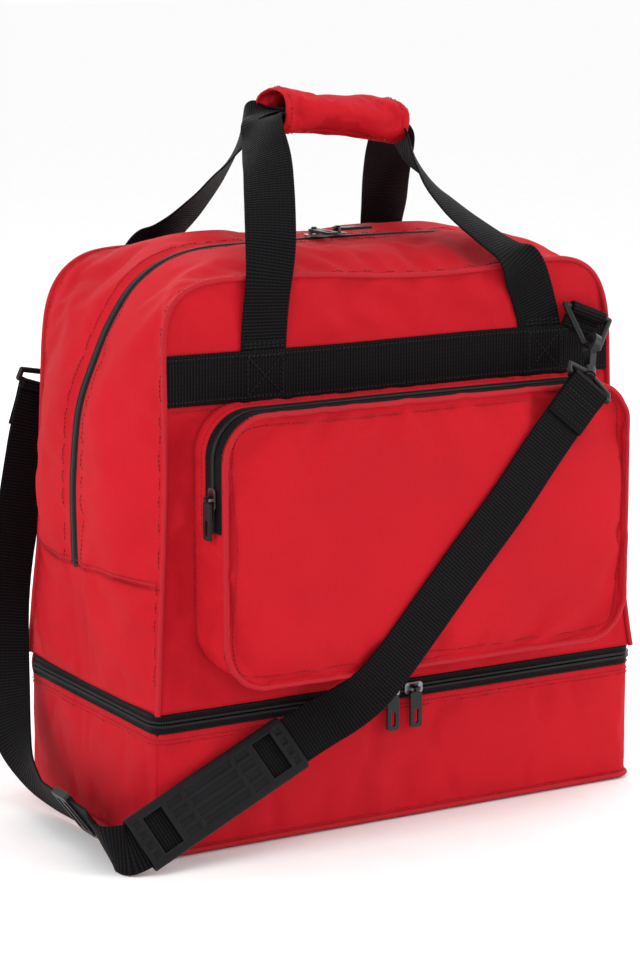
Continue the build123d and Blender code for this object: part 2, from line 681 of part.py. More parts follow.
# points of the strap's middle line with the way its width runs, from the front hook to the back one
strap_route = [
    ((104, -169, 313), (0.77, 0, -0.64)),
    ((68, -169, 268), (0.77, 0, -0.64)),
    ((41, -169, 239), (0.76, 0, -0.65)),
    ((15, -169, 211), (0.75, 0, -0.66)),
    ((-23, -169, 168), (0.75, 0, -0.66)),
    ((-45, -168, 143), (0.74, 0, -0.67)),
    ((-62, -165, 125), (0.68, -0.08, -0.73)),
    ((-78, -153, 110), (0.55, -0.3, -0.77)),
    (tuple(pad_run_right), tuple(pad_across)),
    (tuple(pad_run_left), tuple(pad_across)),
    ((-268, -134, 19.5), (0.3, -0.3, -0.92)),
    ((-275, -119, 20), (0.42, -0.05, -0.91)),
    ((-268, -98, 20.5), (0.55, 0.1, -0.83)),
    ((-258, -78, 20.8), (0.6, 0, -0.8)),
    ((-256, -66, 20.8), (0.6, 0, -0.8)),
    ((-256, 6, 20.8), (0.6, 0, -0.8)),
    ((-257, 26, 23.5), (0.45, 0.25, -0.86)),
    ((-262, 50, 36), (0.1, 0.4, -0.9)),
    ((-264, 75, 62), (-0.5, 0.63, -0.54)),
    ((-258, 98, 98), (-0.8, 0.5, -0.15)),
    ((-249, 117, 140), (-0.96, 0.15, 0.1)),
    ((-240, 127, 185), (-0.98, 0, 0.2)),
    ((-229, 131, 232), (-0.97, 0, 0.22)),
    ((-221, 132, 272), (-0.96, 0, 0.28)),
    ((-213, 133, 310), (-0.92, 0, 0.38)),
]
strap_ends = (
    (front_end, Vector(*strap_route[0][0])),
    (back_end, Vector(*strap_route[-1][0])),
)
loop_radius = frame_bar + ring_play
stations = list(strap_route)
with BuildPart() as shoulder_strap:
    for index, ((bar_middle, bar_way), next_point) in enumerate(strap_ends):
        leave = (next_point - bar_middle).normalized()
        start = bar_middle + leave * (loop_radius + strap_thickness / 2)
        stations.insert(0 if index == 0 else len(stations), (tuple(start), tuple(bar_way)))
    add(ribbon(stations, webbing_width, strap_thickness))
    for bar_middle, bar_way in (front_end, back_end):
        half = bar_way * (webbing_width / 2)
        add_rod(bar_middle - half, bar_middle + half, loop_radius + strap_thickness)
    for bar_middle, bar_way in (front_end, back_end):
        half = bar_way * (webbing_width / 2 + 1)
        add_rod(bar_middle - half, bar_middle + half, loop_radius, mode=Mode.SUBTRACT)
save(shoulder_strap, "shoulder_strap")

with BuildPart() as shoulder_pad:
    with BuildSketch(pad_plane):
        RectangleRounded(pad_length, webbing_width + 2 * pad_edge, 6)
    extrude(amount=pad_thickness / 2, both=True)
    with BuildSketch(Plane(origin=pad_centre - pad_way * pad_length, x_dir=pad_plane.y_dir, z_dir=pad_way)):
        Rectangle(webbing_width + 2 * pad_slot_play, strap_thickness + 2 * pad_slot_play)
    extrude(amount=2 * pad_length, mode=Mode.SUBTRACT)
    with BuildSketch(pad_plane):
        window_x = pad_length / 2 - pad_window_inset - pad_window / 2
        with Locations((-window_x, 0), (window_x, 0)):
            Rectangle(pad_window, webbing_width - 6)
    extrude(amount=pad_thickness, mode=Mode.SUBTRACT)
save(shoulder_pad, "shoulder_pad")

adjuster_centre = Vector(-256, -30, 20.8)
adjuster_way = Vector(0, 1, 0)
adjuster_plane = Plane(origin=adjuster_centre, x_dir=adjuster_way, z_dir=Vector(-0.8, 0, -0.6))
with BuildPart() as strap_adjuster:
    with BuildSketch(adjuster_plane):
        RectangleRounded(adjuster_length, webbing_width + 2 * adjuster_rim, 3)
    extrude(amount=adjuster_thickness / 2, both=True)
    with BuildSketch(Plane(origin=adjuster_centre - adjuster_way * adjuster_length, x_dir=adjuster_plane.y_dir,
                           z_dir=adjuster_way)):
        Rectangle(webbing_width + 2 * adjuster_play, strap_thickness + 2 * adjuster_play)
    extrude(amount=2 * adjuster_length, mode=Mode.SUBTRACT)
    with BuildSketch(adjuster_plane):
        with Locations((-adjuster_length / 4, 0), (adjuster_length / 4, 0)):
            Rectangle(adjuster_length / 4, webbing_width - 6)
    extrude(amount=adjuster_thickness, both=True, mode=Mode.SUBTRACT)
save(strap_adjuster, "strap_adjuster")
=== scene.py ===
import json
import math
import bmesh
import bpy
import numpy as np
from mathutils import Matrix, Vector, noise


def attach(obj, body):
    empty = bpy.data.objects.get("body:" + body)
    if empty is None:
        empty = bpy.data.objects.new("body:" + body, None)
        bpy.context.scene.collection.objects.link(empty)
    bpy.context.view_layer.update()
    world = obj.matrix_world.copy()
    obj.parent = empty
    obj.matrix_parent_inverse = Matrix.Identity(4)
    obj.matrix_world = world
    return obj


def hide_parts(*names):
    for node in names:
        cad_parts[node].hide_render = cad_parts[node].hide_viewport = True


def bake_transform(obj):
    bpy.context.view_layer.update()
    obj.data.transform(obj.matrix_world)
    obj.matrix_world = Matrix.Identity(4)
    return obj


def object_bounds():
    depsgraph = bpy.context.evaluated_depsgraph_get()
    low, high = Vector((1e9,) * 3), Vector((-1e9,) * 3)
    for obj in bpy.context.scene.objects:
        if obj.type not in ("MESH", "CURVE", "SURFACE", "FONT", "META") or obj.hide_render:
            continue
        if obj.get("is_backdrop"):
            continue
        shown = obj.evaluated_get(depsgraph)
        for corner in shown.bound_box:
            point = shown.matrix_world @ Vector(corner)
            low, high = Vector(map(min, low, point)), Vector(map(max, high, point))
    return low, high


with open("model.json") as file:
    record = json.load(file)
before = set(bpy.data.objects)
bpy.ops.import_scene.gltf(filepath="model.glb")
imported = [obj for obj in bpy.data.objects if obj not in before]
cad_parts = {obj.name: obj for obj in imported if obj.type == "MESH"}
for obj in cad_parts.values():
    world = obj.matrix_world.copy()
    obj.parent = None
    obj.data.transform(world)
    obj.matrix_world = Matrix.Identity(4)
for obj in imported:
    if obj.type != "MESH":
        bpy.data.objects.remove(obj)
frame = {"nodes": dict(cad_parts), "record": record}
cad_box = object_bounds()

MM = 0.001
scene = bpy.context.scene
scene.view_settings.view_transform = "Standard"


# ---- camera, lights and floor ----
def aim(obj, place, target):
    obj.location = place
    obj.rotation_euler = (Vector(target) - Vector(place)).to_track_quat("-Z", "Y").to_euler()
    scene.collection.objects.link(obj)


camera_data = bpy.data.cameras.new("camera")
camera_data.lens = 110.0
camera_data.sensor_width = 36.0
camera_data.clip_end = 60.0
camera = bpy.data.objects.new("camera", camera_data)
aim(camera, (-1.2248, -2.0842, 0.7312), (-0.01127, 0.0, 0.26332))
scene.camera = camera

for name, place, target, size, watts in (
    ("key_left", (-2.6, -0.5, 1.5), (-0.2, 0, 0.25), 1.8, 28),
    ("front_right", (1.6, -1.3, 0.9), (0.2, -0.1, 0.25), 1.0, 14),
    ("top", (0.1, -0.4, 2.6), (0, 0, 0.3), 1.8, 9),
    ("behind", (0.6, 2.6, 1.7), (0, 0, 0.25), 2.0, 17),
    ("right_side", (2.6, 0.8, 1.3), (0.2, 0, 0.25), 1.8, 9),
):
    lamp = bpy.data.lights.new(name, "AREA")
    lamp.shape = "DISK"
    lamp.size = size
    lamp.energy = watts
    lamp_object = bpy.data.objects.new(name, lamp)
    lamp_object.visible_camera = False
    aim(lamp_object, place, target)

world = bpy.data.worlds.new("studio")
world.use_nodes = True
world.node_tree.nodes["Background"].inputs["Color"].default_value = (1, 1, 1, 1)
world.node_tree.nodes["Background"].inputs["Strength"].default_value = 1.0
scene.world = world


# ---- materials ----
class Surface:
    """A procedural material on the Principled shader, with shortcuts for its nodes."""

    def __init__(self, name, rough, metal=0.0, sheen=0.0, tint=(1, 1, 1), coat=0.0, gloss=0.5):
        self.mat = bpy.data.materials.new(name)
        self.mat.use_nodes = True
        self.tree = self.mat.node_tree
        self.shader = self.tree.nodes["Principled BSDF"]
        self.shader.inputs["Roughness"].default_value = rough
        self.shader.inputs["Metallic"].default_value = metal
        self.shader.inputs["Sheen Weight"].default_value = sheen
        self.shader.inputs["Sheen Roughness"].default_value = 0.45
        self.shader.inputs["Sheen Tint"].default_value = (*tint, 1)
        self.shader.inputs["Coat Weight"].default_value = coat
        self.shader.inputs["Specular IOR Level"].default_value = gloss

    def node(self, kind, **values):
        made = self.tree.nodes.new(kind)
        for key, value in values.items():
            setattr(made, key, value)
        return made

    def link(self, source, target):
        self.tree.links.new(source, target)

    def coords(self, use_uv, scale):
        source = self.node("ShaderNodeTexCoord")
        mapping = self.node("ShaderNodeMapping")
        mapping.inputs["Scale"].default_value = scale
        self.link(source.outputs["UV" if use_uv else "Object"], mapping.inputs["Vector"])
        return mapping.outputs["Vector"]

    def noise(self, coords, scale, detail=3.0, rough=0.55):
        made = self.node("ShaderNodeTexNoise")
        made.inputs["Scale"].default_value = scale
        made.inputs["Detail"].default_value = detail
        made.inputs["Roughness"].default_value = rough
        self.link(coords, made.inputs["Vector"])
        return made.outputs["Fac"]

    def wave(self, coords, scale, direction, distort=0.0):
        made = self.node("ShaderNodeTexWave", wave_type="BANDS", bands_direction=direction)
        made.inputs["Scale"].default_value = scale
        made.inputs["Distortion"].default_value = distort
        self.link(coords, made.inputs["Vector"])
        return made.outputs["Fac"]

    def math(self, how, a, b):
        made = self.node("ShaderNodeMath", operation=how)
        for index, value in enumerate((a, b)):
            if isinstance(value, (int, float)):
                made.inputs[index].default_value = value
            else:
                self.link(value, made.inputs[index])
        return made.outputs[0]

    def ramp(self, value, stops):
        made = self.node("ShaderNodeValToRGB")
        ramp = made.color_ramp
        while len(ramp.elements) < len(stops):
            ramp.elements.new(0.5)
        for element, (place, colour) in zip(ramp.elements, stops):
            element.position = place
            element.color = (*colour, 1)
        self.link(value, made.inputs["Fac"])
        return made.outputs["Color"]

    def mix(self, how, factor, a, b):
        made = self.node("ShaderNodeMix", data_type="RGBA", blend_type=how)
        if isinstance(factor, (int, float)):
            made.inputs["Factor"].default_value = factor
        else:
            self.link(factor, made.inputs["Factor"])
        self.link(a, made.inputs["A"])
        self.link(b, made.inputs["B"])
        return made.outputs["Result"]

    def colour(self, value):
        self.link(value, self.shader.inputs["Base Color"])

    def roughness(self, value, low, high):
        made = self.node("ShaderNodeMapRange")
        made.inputs["To Min"].default_value = low
        made.inputs["To Max"].default_value = high
        self.link(value, made.inputs["Value"])
        self.link(made.outputs["Result"], self.shader.inputs["Roughness"])

    def bump(self, *layers):
        """Each layer is (height, strength, depth in metres); they stack."""
        normal = None
        for height, strength, depth in layers:
            made = self.node("ShaderNodeBump")
            made.inputs["Strength"].default_value = strength
            made.inputs["Distance"].default_value = depth
            self.link(height, made.inputs["Height"])
            if normal is not None:
                self.link(normal, made.inputs["Normal"])
            normal = made.outputs["Normal"]
        self.link(normal, self.shader.inputs["Normal"])


def band_scale(pitch):
    """Wave texture scale that repeats every pitch metres."""
    return 2 * math.pi / (20 * pitch)


def woven(name, deep, mid, light, pitch_u, pitch_v, rough, sheen, tint, weave, patches=0.35, gloss=0.06,
          ribs=0.35):
    """Cloth or webbing: threads over and under each other, with soft patches and a worn, faded bloom."""
    made = Surface(name, rough, sheen=sheen, tint=tint, gloss=gloss)
    uv = made.coords(True, (1, 1, 1))
    place = made.coords(False, (1, 1, 1))
    threads_u = made.wave(uv, band_scale(pitch_u), "X", 0.15)
    threads_v = made.wave(uv, band_scale(pitch_v), "Y", 0.15)
    product = made.math("MULTIPLY", threads_u, threads_v)
    height = made.math("ADD", made.math("MULTIPLY", product, 1.2 - ribs),
                       made.math("MULTIPLY", threads_u, ribs))
    soft = made.noise(place, 9.0, 4.0)
    fine = made.noise(place, 900.0, 2.0)
    fibres = made.noise(place, 160.0, 3.0, 0.7)
    cloth = made.ramp(made.math("ADD", made.math("MULTIPLY", height, 0.6), made.math("MULTIPLY", fine, 0.4)),
                      ((0.1, deep), (0.5, mid), (0.95, light)))
    bloom = made.ramp(soft, ((0.35, tuple(c * 0.82 for c in mid)), (0.65, tuple(c * 1.12 for c in mid))))
    made.colour(made.mix("MIX", patches, cloth, bloom))
    made.roughness(fibres, rough - 0.1, rough + 0.12)
    made.bump((soft, 0.25, 0.0012), (fibres, 0.25, 0.0003), (height, weave, 0.00035))
    return made.mat


def moulded(name, deep, light, rough, grain, metal=0.0, scratch=0.3, coat=0.0, gloss=0.2):
    """Moulded plastic, rubber or enamel: fine grain, faint scratches and rubbed high spots."""
    made = Surface(name, rough, metal=metal, coat=coat, gloss=gloss)
    place = made.coords(False, (1, 1, 1))
    drawn = made.coords(False, (40, 400, 260))
    fine = made.noise(place, grain, 3.0)
    broad = made.noise(place, 60.0, 4.0, 0.6)
    lines = made.noise(drawn, 6.0, 2.0, 0.4)
    edges = made.node("ShaderNodeNewGeometry").outputs["Pointiness"]
    worn = made.ramp(edges, ((0.5, deep), (0.62, light)))
    body = made.ramp(broad, ((0.3, deep), (0.75, tuple(c * 1.6 + 0.001 for c in deep))))
    made.colour(made.mix("MIX", 0.45, body, worn))
    made.roughness(lines, rough - 0.08, rough + 0.16)
    made.bump((fine, 0.3, 0.0001), (lines, scratch * 0.4, 0.00005), (broad, 0.2, 0.0003))
    return made.mat


RED_DEEP, RED, RED_LIGHT = (0.30, 0.004, 0.009), (0.52, 0.008, 0.017), (0.68, 0.017, 0.030)
materials = {
    "red_cloth": woven("red_cloth", RED_DEEP, RED, RED_LIGHT, 0.0008, 0.0008, 0.68, 0.018,
                       (1, 0.25, 0.25), 0.55, gloss=0.08),
    "red_piping": woven("red_piping", (0.24, 0.004, 0.009), (0.44, 0.008, 0.017), (0.62, 0.02, 0.033),
                        0.0009, 0.0012, 0.58, 0.05, (1, 0.4, 0.4), 0.5, gloss=0.14),
    "red_thread": woven("red_thread", (0.14, 0.002, 0.005), (0.26, 0.005, 0.011), (0.46, 0.018, 0.028),
                        0.0006, 0.0006, 0.5, 0.1, (1, 0.5, 0.5), 0.4, gloss=0.2),
    "black_webbing": woven("black_webbing", (0.0008, 0.0007, 0.0009), (0.0034, 0.0029, 0.0034),
                           (0.014, 0.0125, 0.014),
                           0.0026, 0.0034, 0.6, 0.015, (0.8, 0.8, 0.9), 1.0, 0.25, gloss=0.05, ribs=0.85),
    "black_thread": woven("black_thread", (0.003, 0.003, 0.0035), (0.010, 0.009, 0.010), (0.028, 0.026, 0.03),
                          0.0006, 0.0006, 0.5, 0.04, (1, 1, 1), 0.4, gloss=0.15),
    "black_lining": woven("black_lining", (0.004, 0.004, 0.005), (0.012, 0.012, 0.013), (0.028, 0.028, 0.03),
                          0.0008, 0.0008, 0.7, 0.04, (1, 1, 1), 0.35),
    "zip_tape": woven("zip_tape", (0.001, 0.001, 0.0012), (0.0045, 0.004, 0.0045), (0.016, 0.015, 0.017),
                      0.0012, 0.0018, 0.6, 0.03, (1, 1, 1), 0.8, gloss=0.08),
    "zip_coil": moulded("zip_coil", (0.0035, 0.0035, 0.004), (0.03, 0.03, 0.032), 0.4, 1400, scratch=0.2,
                        gloss=0.25),
    "slider_metal": moulded("slider_metal", (0.03, 0.03, 0.034), (0.5, 0.5, 0.53), 0.3, 2200, metal=0.85,
                            scratch=0.6, coat=0.3, gloss=0.5),
    "pull_plastic": moulded("pull_plastic", (0.003, 0.003, 0.0034), (0.028, 0.028, 0.03), 0.36, 1800,
                            gloss=0.25),
    "black_plastic": moulded("black_plastic", (0.0034, 0.0034, 0.0038), (0.03, 0.03, 0.033), 0.36, 1500,
                             scratch=0.5, gloss=0.25),
    "pad_rubber": moulded("pad_rubber", (0.0045, 0.0042, 0.005), (0.02, 0.02, 0.022), 0.55, 1100, gloss=0.15),
    "board": moulded("board", (0.035, 0.035, 0.038), (0.07, 0.07, 0.075), 0.6, 700),
}
floor_look = Surface("floor", 0.75)
grain = floor_look.noise(floor_look.coords(False, (1, 1, 1)), 30.0)
floor_look.colour(floor_look.ramp(grain, ((0.3, (0.955, 0.955, 0.955)), (0.7, (0.985, 0.985, 0.985)))))

floor_mesh = bpy.data.meshes.new("floor")
floor_mesh.from_pydata([(-20, -20, 0), (20, -20, 0), (20, 20, 0), (-20, 20, 0)], [], [(0, 1, 2, 3)])
floor_mesh.materials.append(floor_look.mat)
floor = bpy.data.objects.new("floor", floor_mesh)
floor.location = (0, 0, -0.0005)
scene.collection.objects.link(floor)
floor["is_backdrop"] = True

for node, part in frame["nodes"].items():
    slot_name = next(p["material_slot"] for p in frame["record"]["subparts"] if p["node"] == node)
    part.data.materials.clear()
    part.data.materials.append(materials[slot_name])


# ---- mesh helpers ----
def unit(v):
    v = np.asarray(v, float)
    return v / np.maximum(np.linalg.norm(v, axis=-1, keepdims=True), 1e-12)


def soften(line, passes):
    """Rounds a dense line of points, its ends kept."""
    line = np.array(line, float)
    for _ in range(passes):
        line[1:-1] = (line[:-2] + 2 * line[1:-1] + line[2:]) / 4
    return line


def travel(line):
    """How far along a line of points each point is."""
    return np.concatenate([[0], np.cumsum(np.linalg.norm(np.diff(line, axis=0), axis=1))])


def read_at(places, far, values):
    """Values known at the distances far, read at places."""
    return np.stack([np.interp(places, far, values[:, k]) for k in range(values.shape[1])], 1)


def spaced(line, count):
    """count points evenly along a line of points."""
    line = np.asarray(line, float)
    far = travel(line)
    return read_at(np.linspace(0, far[-1], count), far, line)


def length(line):
    return float(np.linalg.norm(np.diff(line, axis=0), axis=1).sum())


def new_object(name, verts, faces, uvs=None):
    mesh = bpy.data.meshes.new(name)
    mesh.from_pydata(np.asarray(verts, float).tolist(), [], [tuple(int(i) for i in f) for f in faces])
    if uvs is not None:
        layer = mesh.uv_layers.new(name="UVMap")
        index = np.empty(len(mesh.loops), np.int32)
        mesh.loops.foreach_get("vertex_index", index)
        layer.data.foreach_set("uv", np.asarray(uvs, np.float32)[index].ravel())
    mesh.shade_smooth()
    obj = bpy.data.objects.new(name, mesh)
    scene.collection.objects.link(obj)
    return obj


def grid_faces(rows, columns, start=0):
    index = np.arange(rows * columns).reshape(rows, columns) + start
    return np.stack([index[:-1, :-1], index[1:, :-1], index[1:, 1:], index[:-1, 1:]], -1).reshape(-1, 4)


def grid_uvs(points):
    along = np.concatenate([[0], np.cumsum(np.linalg.norm(np.diff(points, axis=0), axis=2).mean(1))])
    over = np.concatenate([[0], np.cumsum(np.linalg.norm(np.diff(points, axis=1), axis=2).mean(0))])
    return np.stack(np.meshgrid(along, over, indexing="ij"), -1).reshape(-1, 2)


def grid_normals(points):
    du, dv = np.gradient(points, axis=0), np.gradient(points, axis=1)
    return unit(np.cross(du, dv))


def finish(obj, body, look, nodes=(), solid=0.0, smooth=0):
    """Gives a piece its material, thickness and body."""
    obj.data.materials.append(materials[look])
    if smooth:
        step = obj.modifiers.new("smooth", "SUBSURF")
        step.levels = step.render_levels = smooth
    if solid:
        step = obj.modifiers.new("thickness", "SOLIDIFY")
        step.thickness = solid
        step.offset = -1
    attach(obj, body)
    if nodes:
        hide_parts(*nodes)
    return obj


def sheet_piece(name, points, body, look, nodes=(), solid=0.0025, smooth=1, outward=None, skip=None):
    """A cloth panel on a grid of points; outward is a point inside the bag that it faces away from."""
    faces = grid_faces(*points.shape[:2])
    if skip is not None:
        faces = faces[~skip.ravel()]
    if outward is not None:
        facing = (grid_normals(points) * (points - np.asarray(outward, float))).sum()
        if facing < 0:
            faces = faces[:, ::-1]
    obj = new_object(name, points.reshape(-1, 3), faces, grid_uvs(points))
    return finish(obj, body, look, nodes, solid, smooth)


def tube(name, line, radius, body, look, nodes=(), sides=10):
    """A round cord sewn along a seam."""
    line = np.asarray(line, float)
    ahead = unit(np.gradient(line, axis=0))
    side = unit(np.cross(ahead, np.where(np.abs(ahead[:, 2:]) > 0.9, [[1.0, 0, 0]], [[0, 0, 1.0]])))
    for i in range(1, len(side)):
        fixed = side[i - 1] - ahead[i] * side[i - 1].dot(ahead[i])
        side[i] = unit(fixed)
    up = np.cross(ahead, side)
    turn = np.linspace(0, 2 * math.pi, sides + 1)[None, :, None]
    points = line[:, None] + radius * (np.cos(turn) * side[:, None] + np.sin(turn) * up[:, None])
    obj = new_object(name, points.reshape(-1, 3), grid_faces(len(line), sides + 1)[:, ::-1], grid_uvs(points))
    return finish(obj, body, look, nodes)


def stitches(name, rows, body, look, pitch=0.0037, size=0.0027, radius=0.00042):
    """Rows of thread stitches; each row is (line of points, outward normals along it)."""
    verts, faces = [], []
    ring = np.linspace(0, 2 * math.pi, 6, endpoint=False)
    for line, outs in rows:
        line = np.asarray(line, float)
        outs = np.broadcast_to(np.asarray(outs, float), line.shape)
        count = max(2, int(length(line) / pitch))
        both = spaced(line, count * 2 + 1)
        far = travel(line)
        normals = unit(read_at(np.linspace(0, far[-1], count * 2 + 1), far, outs))
        for i in range(1, count * 2, 2):
            ahead = unit(both[i + 1] - both[i - 1])
            out = unit(normals[i] - ahead * normals[i].dot(ahead))
            side = np.cross(ahead, out)
            start = len(verts)
            for step, wide in ((-0.5, 0.35), (-0.3, 1.0), (0.3, 1.0), (0.5, 0.35)):
                middle = both[i] + ahead * (step * size) + out * radius * (0.7 if abs(step) < 0.4 else -0.2)
                for angle in ring:
                    verts.append(middle + radius * wide * (math.cos(angle) * side + math.sin(angle) * out))
            for level in range(3):
                for k in range(6):
                    a, b = start + level * 6 + k, start + level * 6 + (k + 1) % 6
                    faces.append((a, b, b + 6, a + 6))
    obj = new_object(name, verts, faces, np.array(verts)[:, :2])
    return finish(obj, body, look)


def ribbon(name, line, across, body, look, nodes=(), width=0.04, thick=0.0016, crown=0.0, blend=False):
    """Flat webbing along a line, with a rounded selvedge each side; across is the way its width runs."""
    line = np.asarray(line, float)
    across = np.broadcast_to(np.asarray(across, float), line.shape)
    ahead = unit(np.gradient(line, axis=0))
    across = unit(across - ahead * (across * ahead).sum(1, keepdims=True))
    out = np.cross(across, ahead)
    share = np.array([-1, -0.985, -0.93, -0.8, -0.5, -0.2, 0.2, 0.5, 0.8, 0.93, 0.985, 1])
    depth = np.array([0.25, 0.42, 0.5, 0.47, 0.46, 0.47, 0.47, 0.46, 0.47, 0.5, 0.42, 0.25])
    loop_x = np.concatenate([share, share[::-1], share[:1]]) * width / 2
    loop_z = np.concatenate([depth, -depth[::-1], depth[:1]]) * thick
    bow = crown * (1 - (loop_x / (width / 2)) ** 2)
    far = travel(line)
    rise = np.clip((far - 0.09) / 0.04, 0, 1)[:, None]
    points = (line[:, None] + across[:, None] * loop_x[None, :, None]
              + out[:, None] * (loop_z[None] + bow[None] * rise)[..., None])
    obj = new_object(name, points.reshape(-1, 3), grid_faces(len(line), len(loop_x)), None)
    count = len(loop_x)
    half = len(share)
    caps = bmesh.new()
    caps.from_mesh(obj.data)
    caps.verts.ensure_lookup_table()
    for end in (0, len(line) - 1):
        for k in range(half - 1):
            a, b = end * count + k, end * count + k + 1
            c, d = end * count + 2 * half - 2 - k, end * count + 2 * half - 1 - k
            caps.faces.new([caps.verts[i] for i in (a, b, c, d)])
    bmesh.ops.recalc_face_normals(caps, faces=caps.faces)
    layer = caps.loops.layers.uv.new("UVMap")
    for face in caps.faces:
        for corner in face.loops:
            row, column = divmod(corner.vert.index, count)
            corner[layer].uv = (far[row], loop_x[column])
    caps.to_mesh(obj.data)
    caps.free()
    obj.data.shade_smooth()
    if blend:
        obj.data.materials.append(materials[look])
        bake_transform(obj)
        if nodes:
            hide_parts(*nodes)
        return obj
    return finish(obj, body, look, nodes)


def ripple(points, out, size, wave, seed):
    """Soft unevenness of cloth: noise along the outward normals."""
    flat = points.reshape(-1, 3)
    shift = np.array([noise.noise(Vector(p * (1 / wave)) + Vector((seed, seed * 0.7, 3.1))) for p in flat])
    return points + out * (shift.reshape(points.shape[:2])[..., None] * size)


def settle(grids, pins, pressure, shrink, cap, stiff=12.0, frames=20):
    """Lets cloth made of joined grids settle under a little pressure, and gives the grids as they lie.

    pins has each point's hold, 0 to 1. No point moves further than cap.
    """
    flat = np.concatenate([g.reshape(-1, 3) for g in grids])
    hold = np.concatenate([np.asarray(p, float).ravel() for p in pins])
    _, first, index = np.unique(np.round(flat, 6), axis=0, return_index=True, return_inverse=True)
    index = index.ravel()
    start, faces = 0, []
    for g in grids:
        faces.append(index[grid_faces(*g.shape[:2], start=start)])
        start += g.shape[0] * g.shape[1]
    faces = [tuple(dict.fromkeys(int(i) for i in f)) for f in np.concatenate(faces)]
    faces = [f for f in faces if len(f) > 2]
    weight = np.zeros(len(first))
    np.maximum.at(weight, index, hold)
    obj = new_object("cloth_run", flat[first], faces)
    turned = bmesh.new()
    turned.from_mesh(obj.data)
    bmesh.ops.recalc_face_normals(turned, faces=turned.faces)
    turned.to_mesh(obj.data)
    turned.free()
    group = obj.vertex_groups.new(name="pin")
    for level in np.unique(np.round(weight, 2)):
        if level > 0:
            group.add(np.nonzero(np.round(weight, 2) == level)[0].tolist(), float(level), "REPLACE")
    cloth = obj.modifiers.new("cloth", "CLOTH")
    rules = cloth.settings
    rules.quality = 6
    rules.mass = 0.25
    rules.tension_stiffness = rules.compression_stiffness = stiff
    rules.shear_stiffness = stiff / 2
    rules.bending_stiffness = 0.6
    rules.air_damping = 4
    rules.vertex_group_mass = "pin"
    rules.shrink_min = shrink
    rules.use_pressure = True
    rules.uniform_pressure_force = pressure
    rules.effector_weights.gravity = 0
    cloth.collision_settings.use_collision = False
    cloth.point_cache.frame_end = frames
    for number in range(1, frames + 1):
        scene.frame_set(number)
    seen = obj.evaluated_get(bpy.context.evaluated_depsgraph_get()).to_mesh()
    moved = np.empty(len(first) * 3)
    seen.vertices.foreach_get("co", moved)
    moved = moved.reshape(-1, 3) - flat[first]
    bpy.data.objects.remove(obj)
    scene.frame_set(1)
    size = np.linalg.norm(moved, axis=1, keepdims=True)
    moved = moved * np.minimum(1, cap / np.maximum(size, 1e-9))
    print("settled", len(first), "points, furthest", round(float(size.max()) * 1000, 1), "mm")
    flat = flat + moved[index]
    made, start = [], 0
    for g in grids:
        count = g.shape[0] * g.shape[1]
        made.append(flat[start:start + count].reshape(g.shape))
        start += count
    return made


def coons(left, top, right, bottom):
    """Grid between four edges: left and right run up, top and bottom run left to right."""
    v, u = np.linspace(0, 1, len(left)), np.linspace(0, 1, len(bottom))
    u, v = u[:, None, None], v[None, :, None]
    across = (1 - u) * left[None] + u * right[None]
    upward = (1 - v) * bottom[:, None] + v * top[:, None]
    corners = ((1 - u) * (1 - v) * bottom[0] + u * (1 - v) * bottom[-1]
               + (1 - u) * v * top[0] + u * v * top[-1])
    return across + upward - corners


# ---- shoulder strap: a free cord of flat webbing ----
# the middle line's points with the way that the width runs, from the front hook's frame to the back one
STRAP = (
    ((137.8, -173.8, 355.3), (0.82, 0, -0.57)), ((104, -169, 313), (0.77, 0, -0.64)),
    ((68, -169, 268), (0.77, 0, -0.64)), ((41, -169, 239), (0.76, 0, -0.65)),
    ((15, -169, 211), (0.75, 0, -0.66)), ((-23, -169, 168), (0.75, 0, -0.66)),
    ((-45, -168, 143), (0.74, 0, -0.67)), ((-62, -165, 125), (0.68, -0.08, -0.73)),
    ((-78, -153, 110), (0.55, -0.3, -0.77)), ((-95.5, -140, 97), (0.37, -0.48, -0.79)),
    ((-140, -140, 76.1), (0.37, -0.48, -0.79)), ((-200, -140, 47.9), (0.37, -0.48, -0.79)),
    ((-257.5, -140, 20.9), (0.37, -0.48, -0.79)), ((-268, -134, 19.5), (0.3, -0.3, -0.92)),
    ((-275, -119, 20), (0.42, -0.05, -0.91)), ((-268, -98, 20.5), (0.55, 0.1, -0.83)),
    ((-258, -78, 20.8), (0.6, 0, -0.8)), ((-256, -66, 20.8), (0.6, 0, -0.8)),
    ((-256, 6, 20.8), (0.6, 0, -0.8)),
    ((-257, 26, 23.5), (0.45, 0.25, -0.86)), ((-262, 50, 36), (0.1, 0.4, -0.9)),
    ((-264, 75, 62), (-0.5, 0.63, -0.54)), ((-258, 98, 98), (-0.8, 0.5, -0.15)),
    ((-249, 117, 140), (-0.96, 0.15, 0.1)), ((-240, 127, 185), (-0.98, 0, 0.2)),
    ((-229, 131, 232), (-0.97, 0, 0.22)), ((-221, 132, 272), (-0.96, 0, 0.28)),
    ((-213, 133, 310), (-0.92, 0, 0.38)), ((-203.4, 134, 338.2), (-0.89, 0, 0.45)),
)


def nurbs_line(points):
    """Points read from the smooth spline that has these points as its control points."""
    curve = bpy.data.curves.new("route", "CURVE")
    curve.dimensions = "3D"
    spline = curve.splines.new("NURBS")
    spline.points.add(len(points) - 1)
    for point, place in zip(spline.points, points):
        point.co = (*place, 1)
    spline.order_u = 3
    spline.use_endpoint_u = True
    spline.resolution_u = 10
    obj = bpy.data.objects.new("route", curve)
    scene.collection.objects.link(obj)
    mesh = bpy.data.meshes.new_from_object(obj)
    line = np.array([v.co for v in mesh.vertices])
    bpy.data.objects.remove(obj)
    bpy.data.meshes.remove(mesh)
    return line


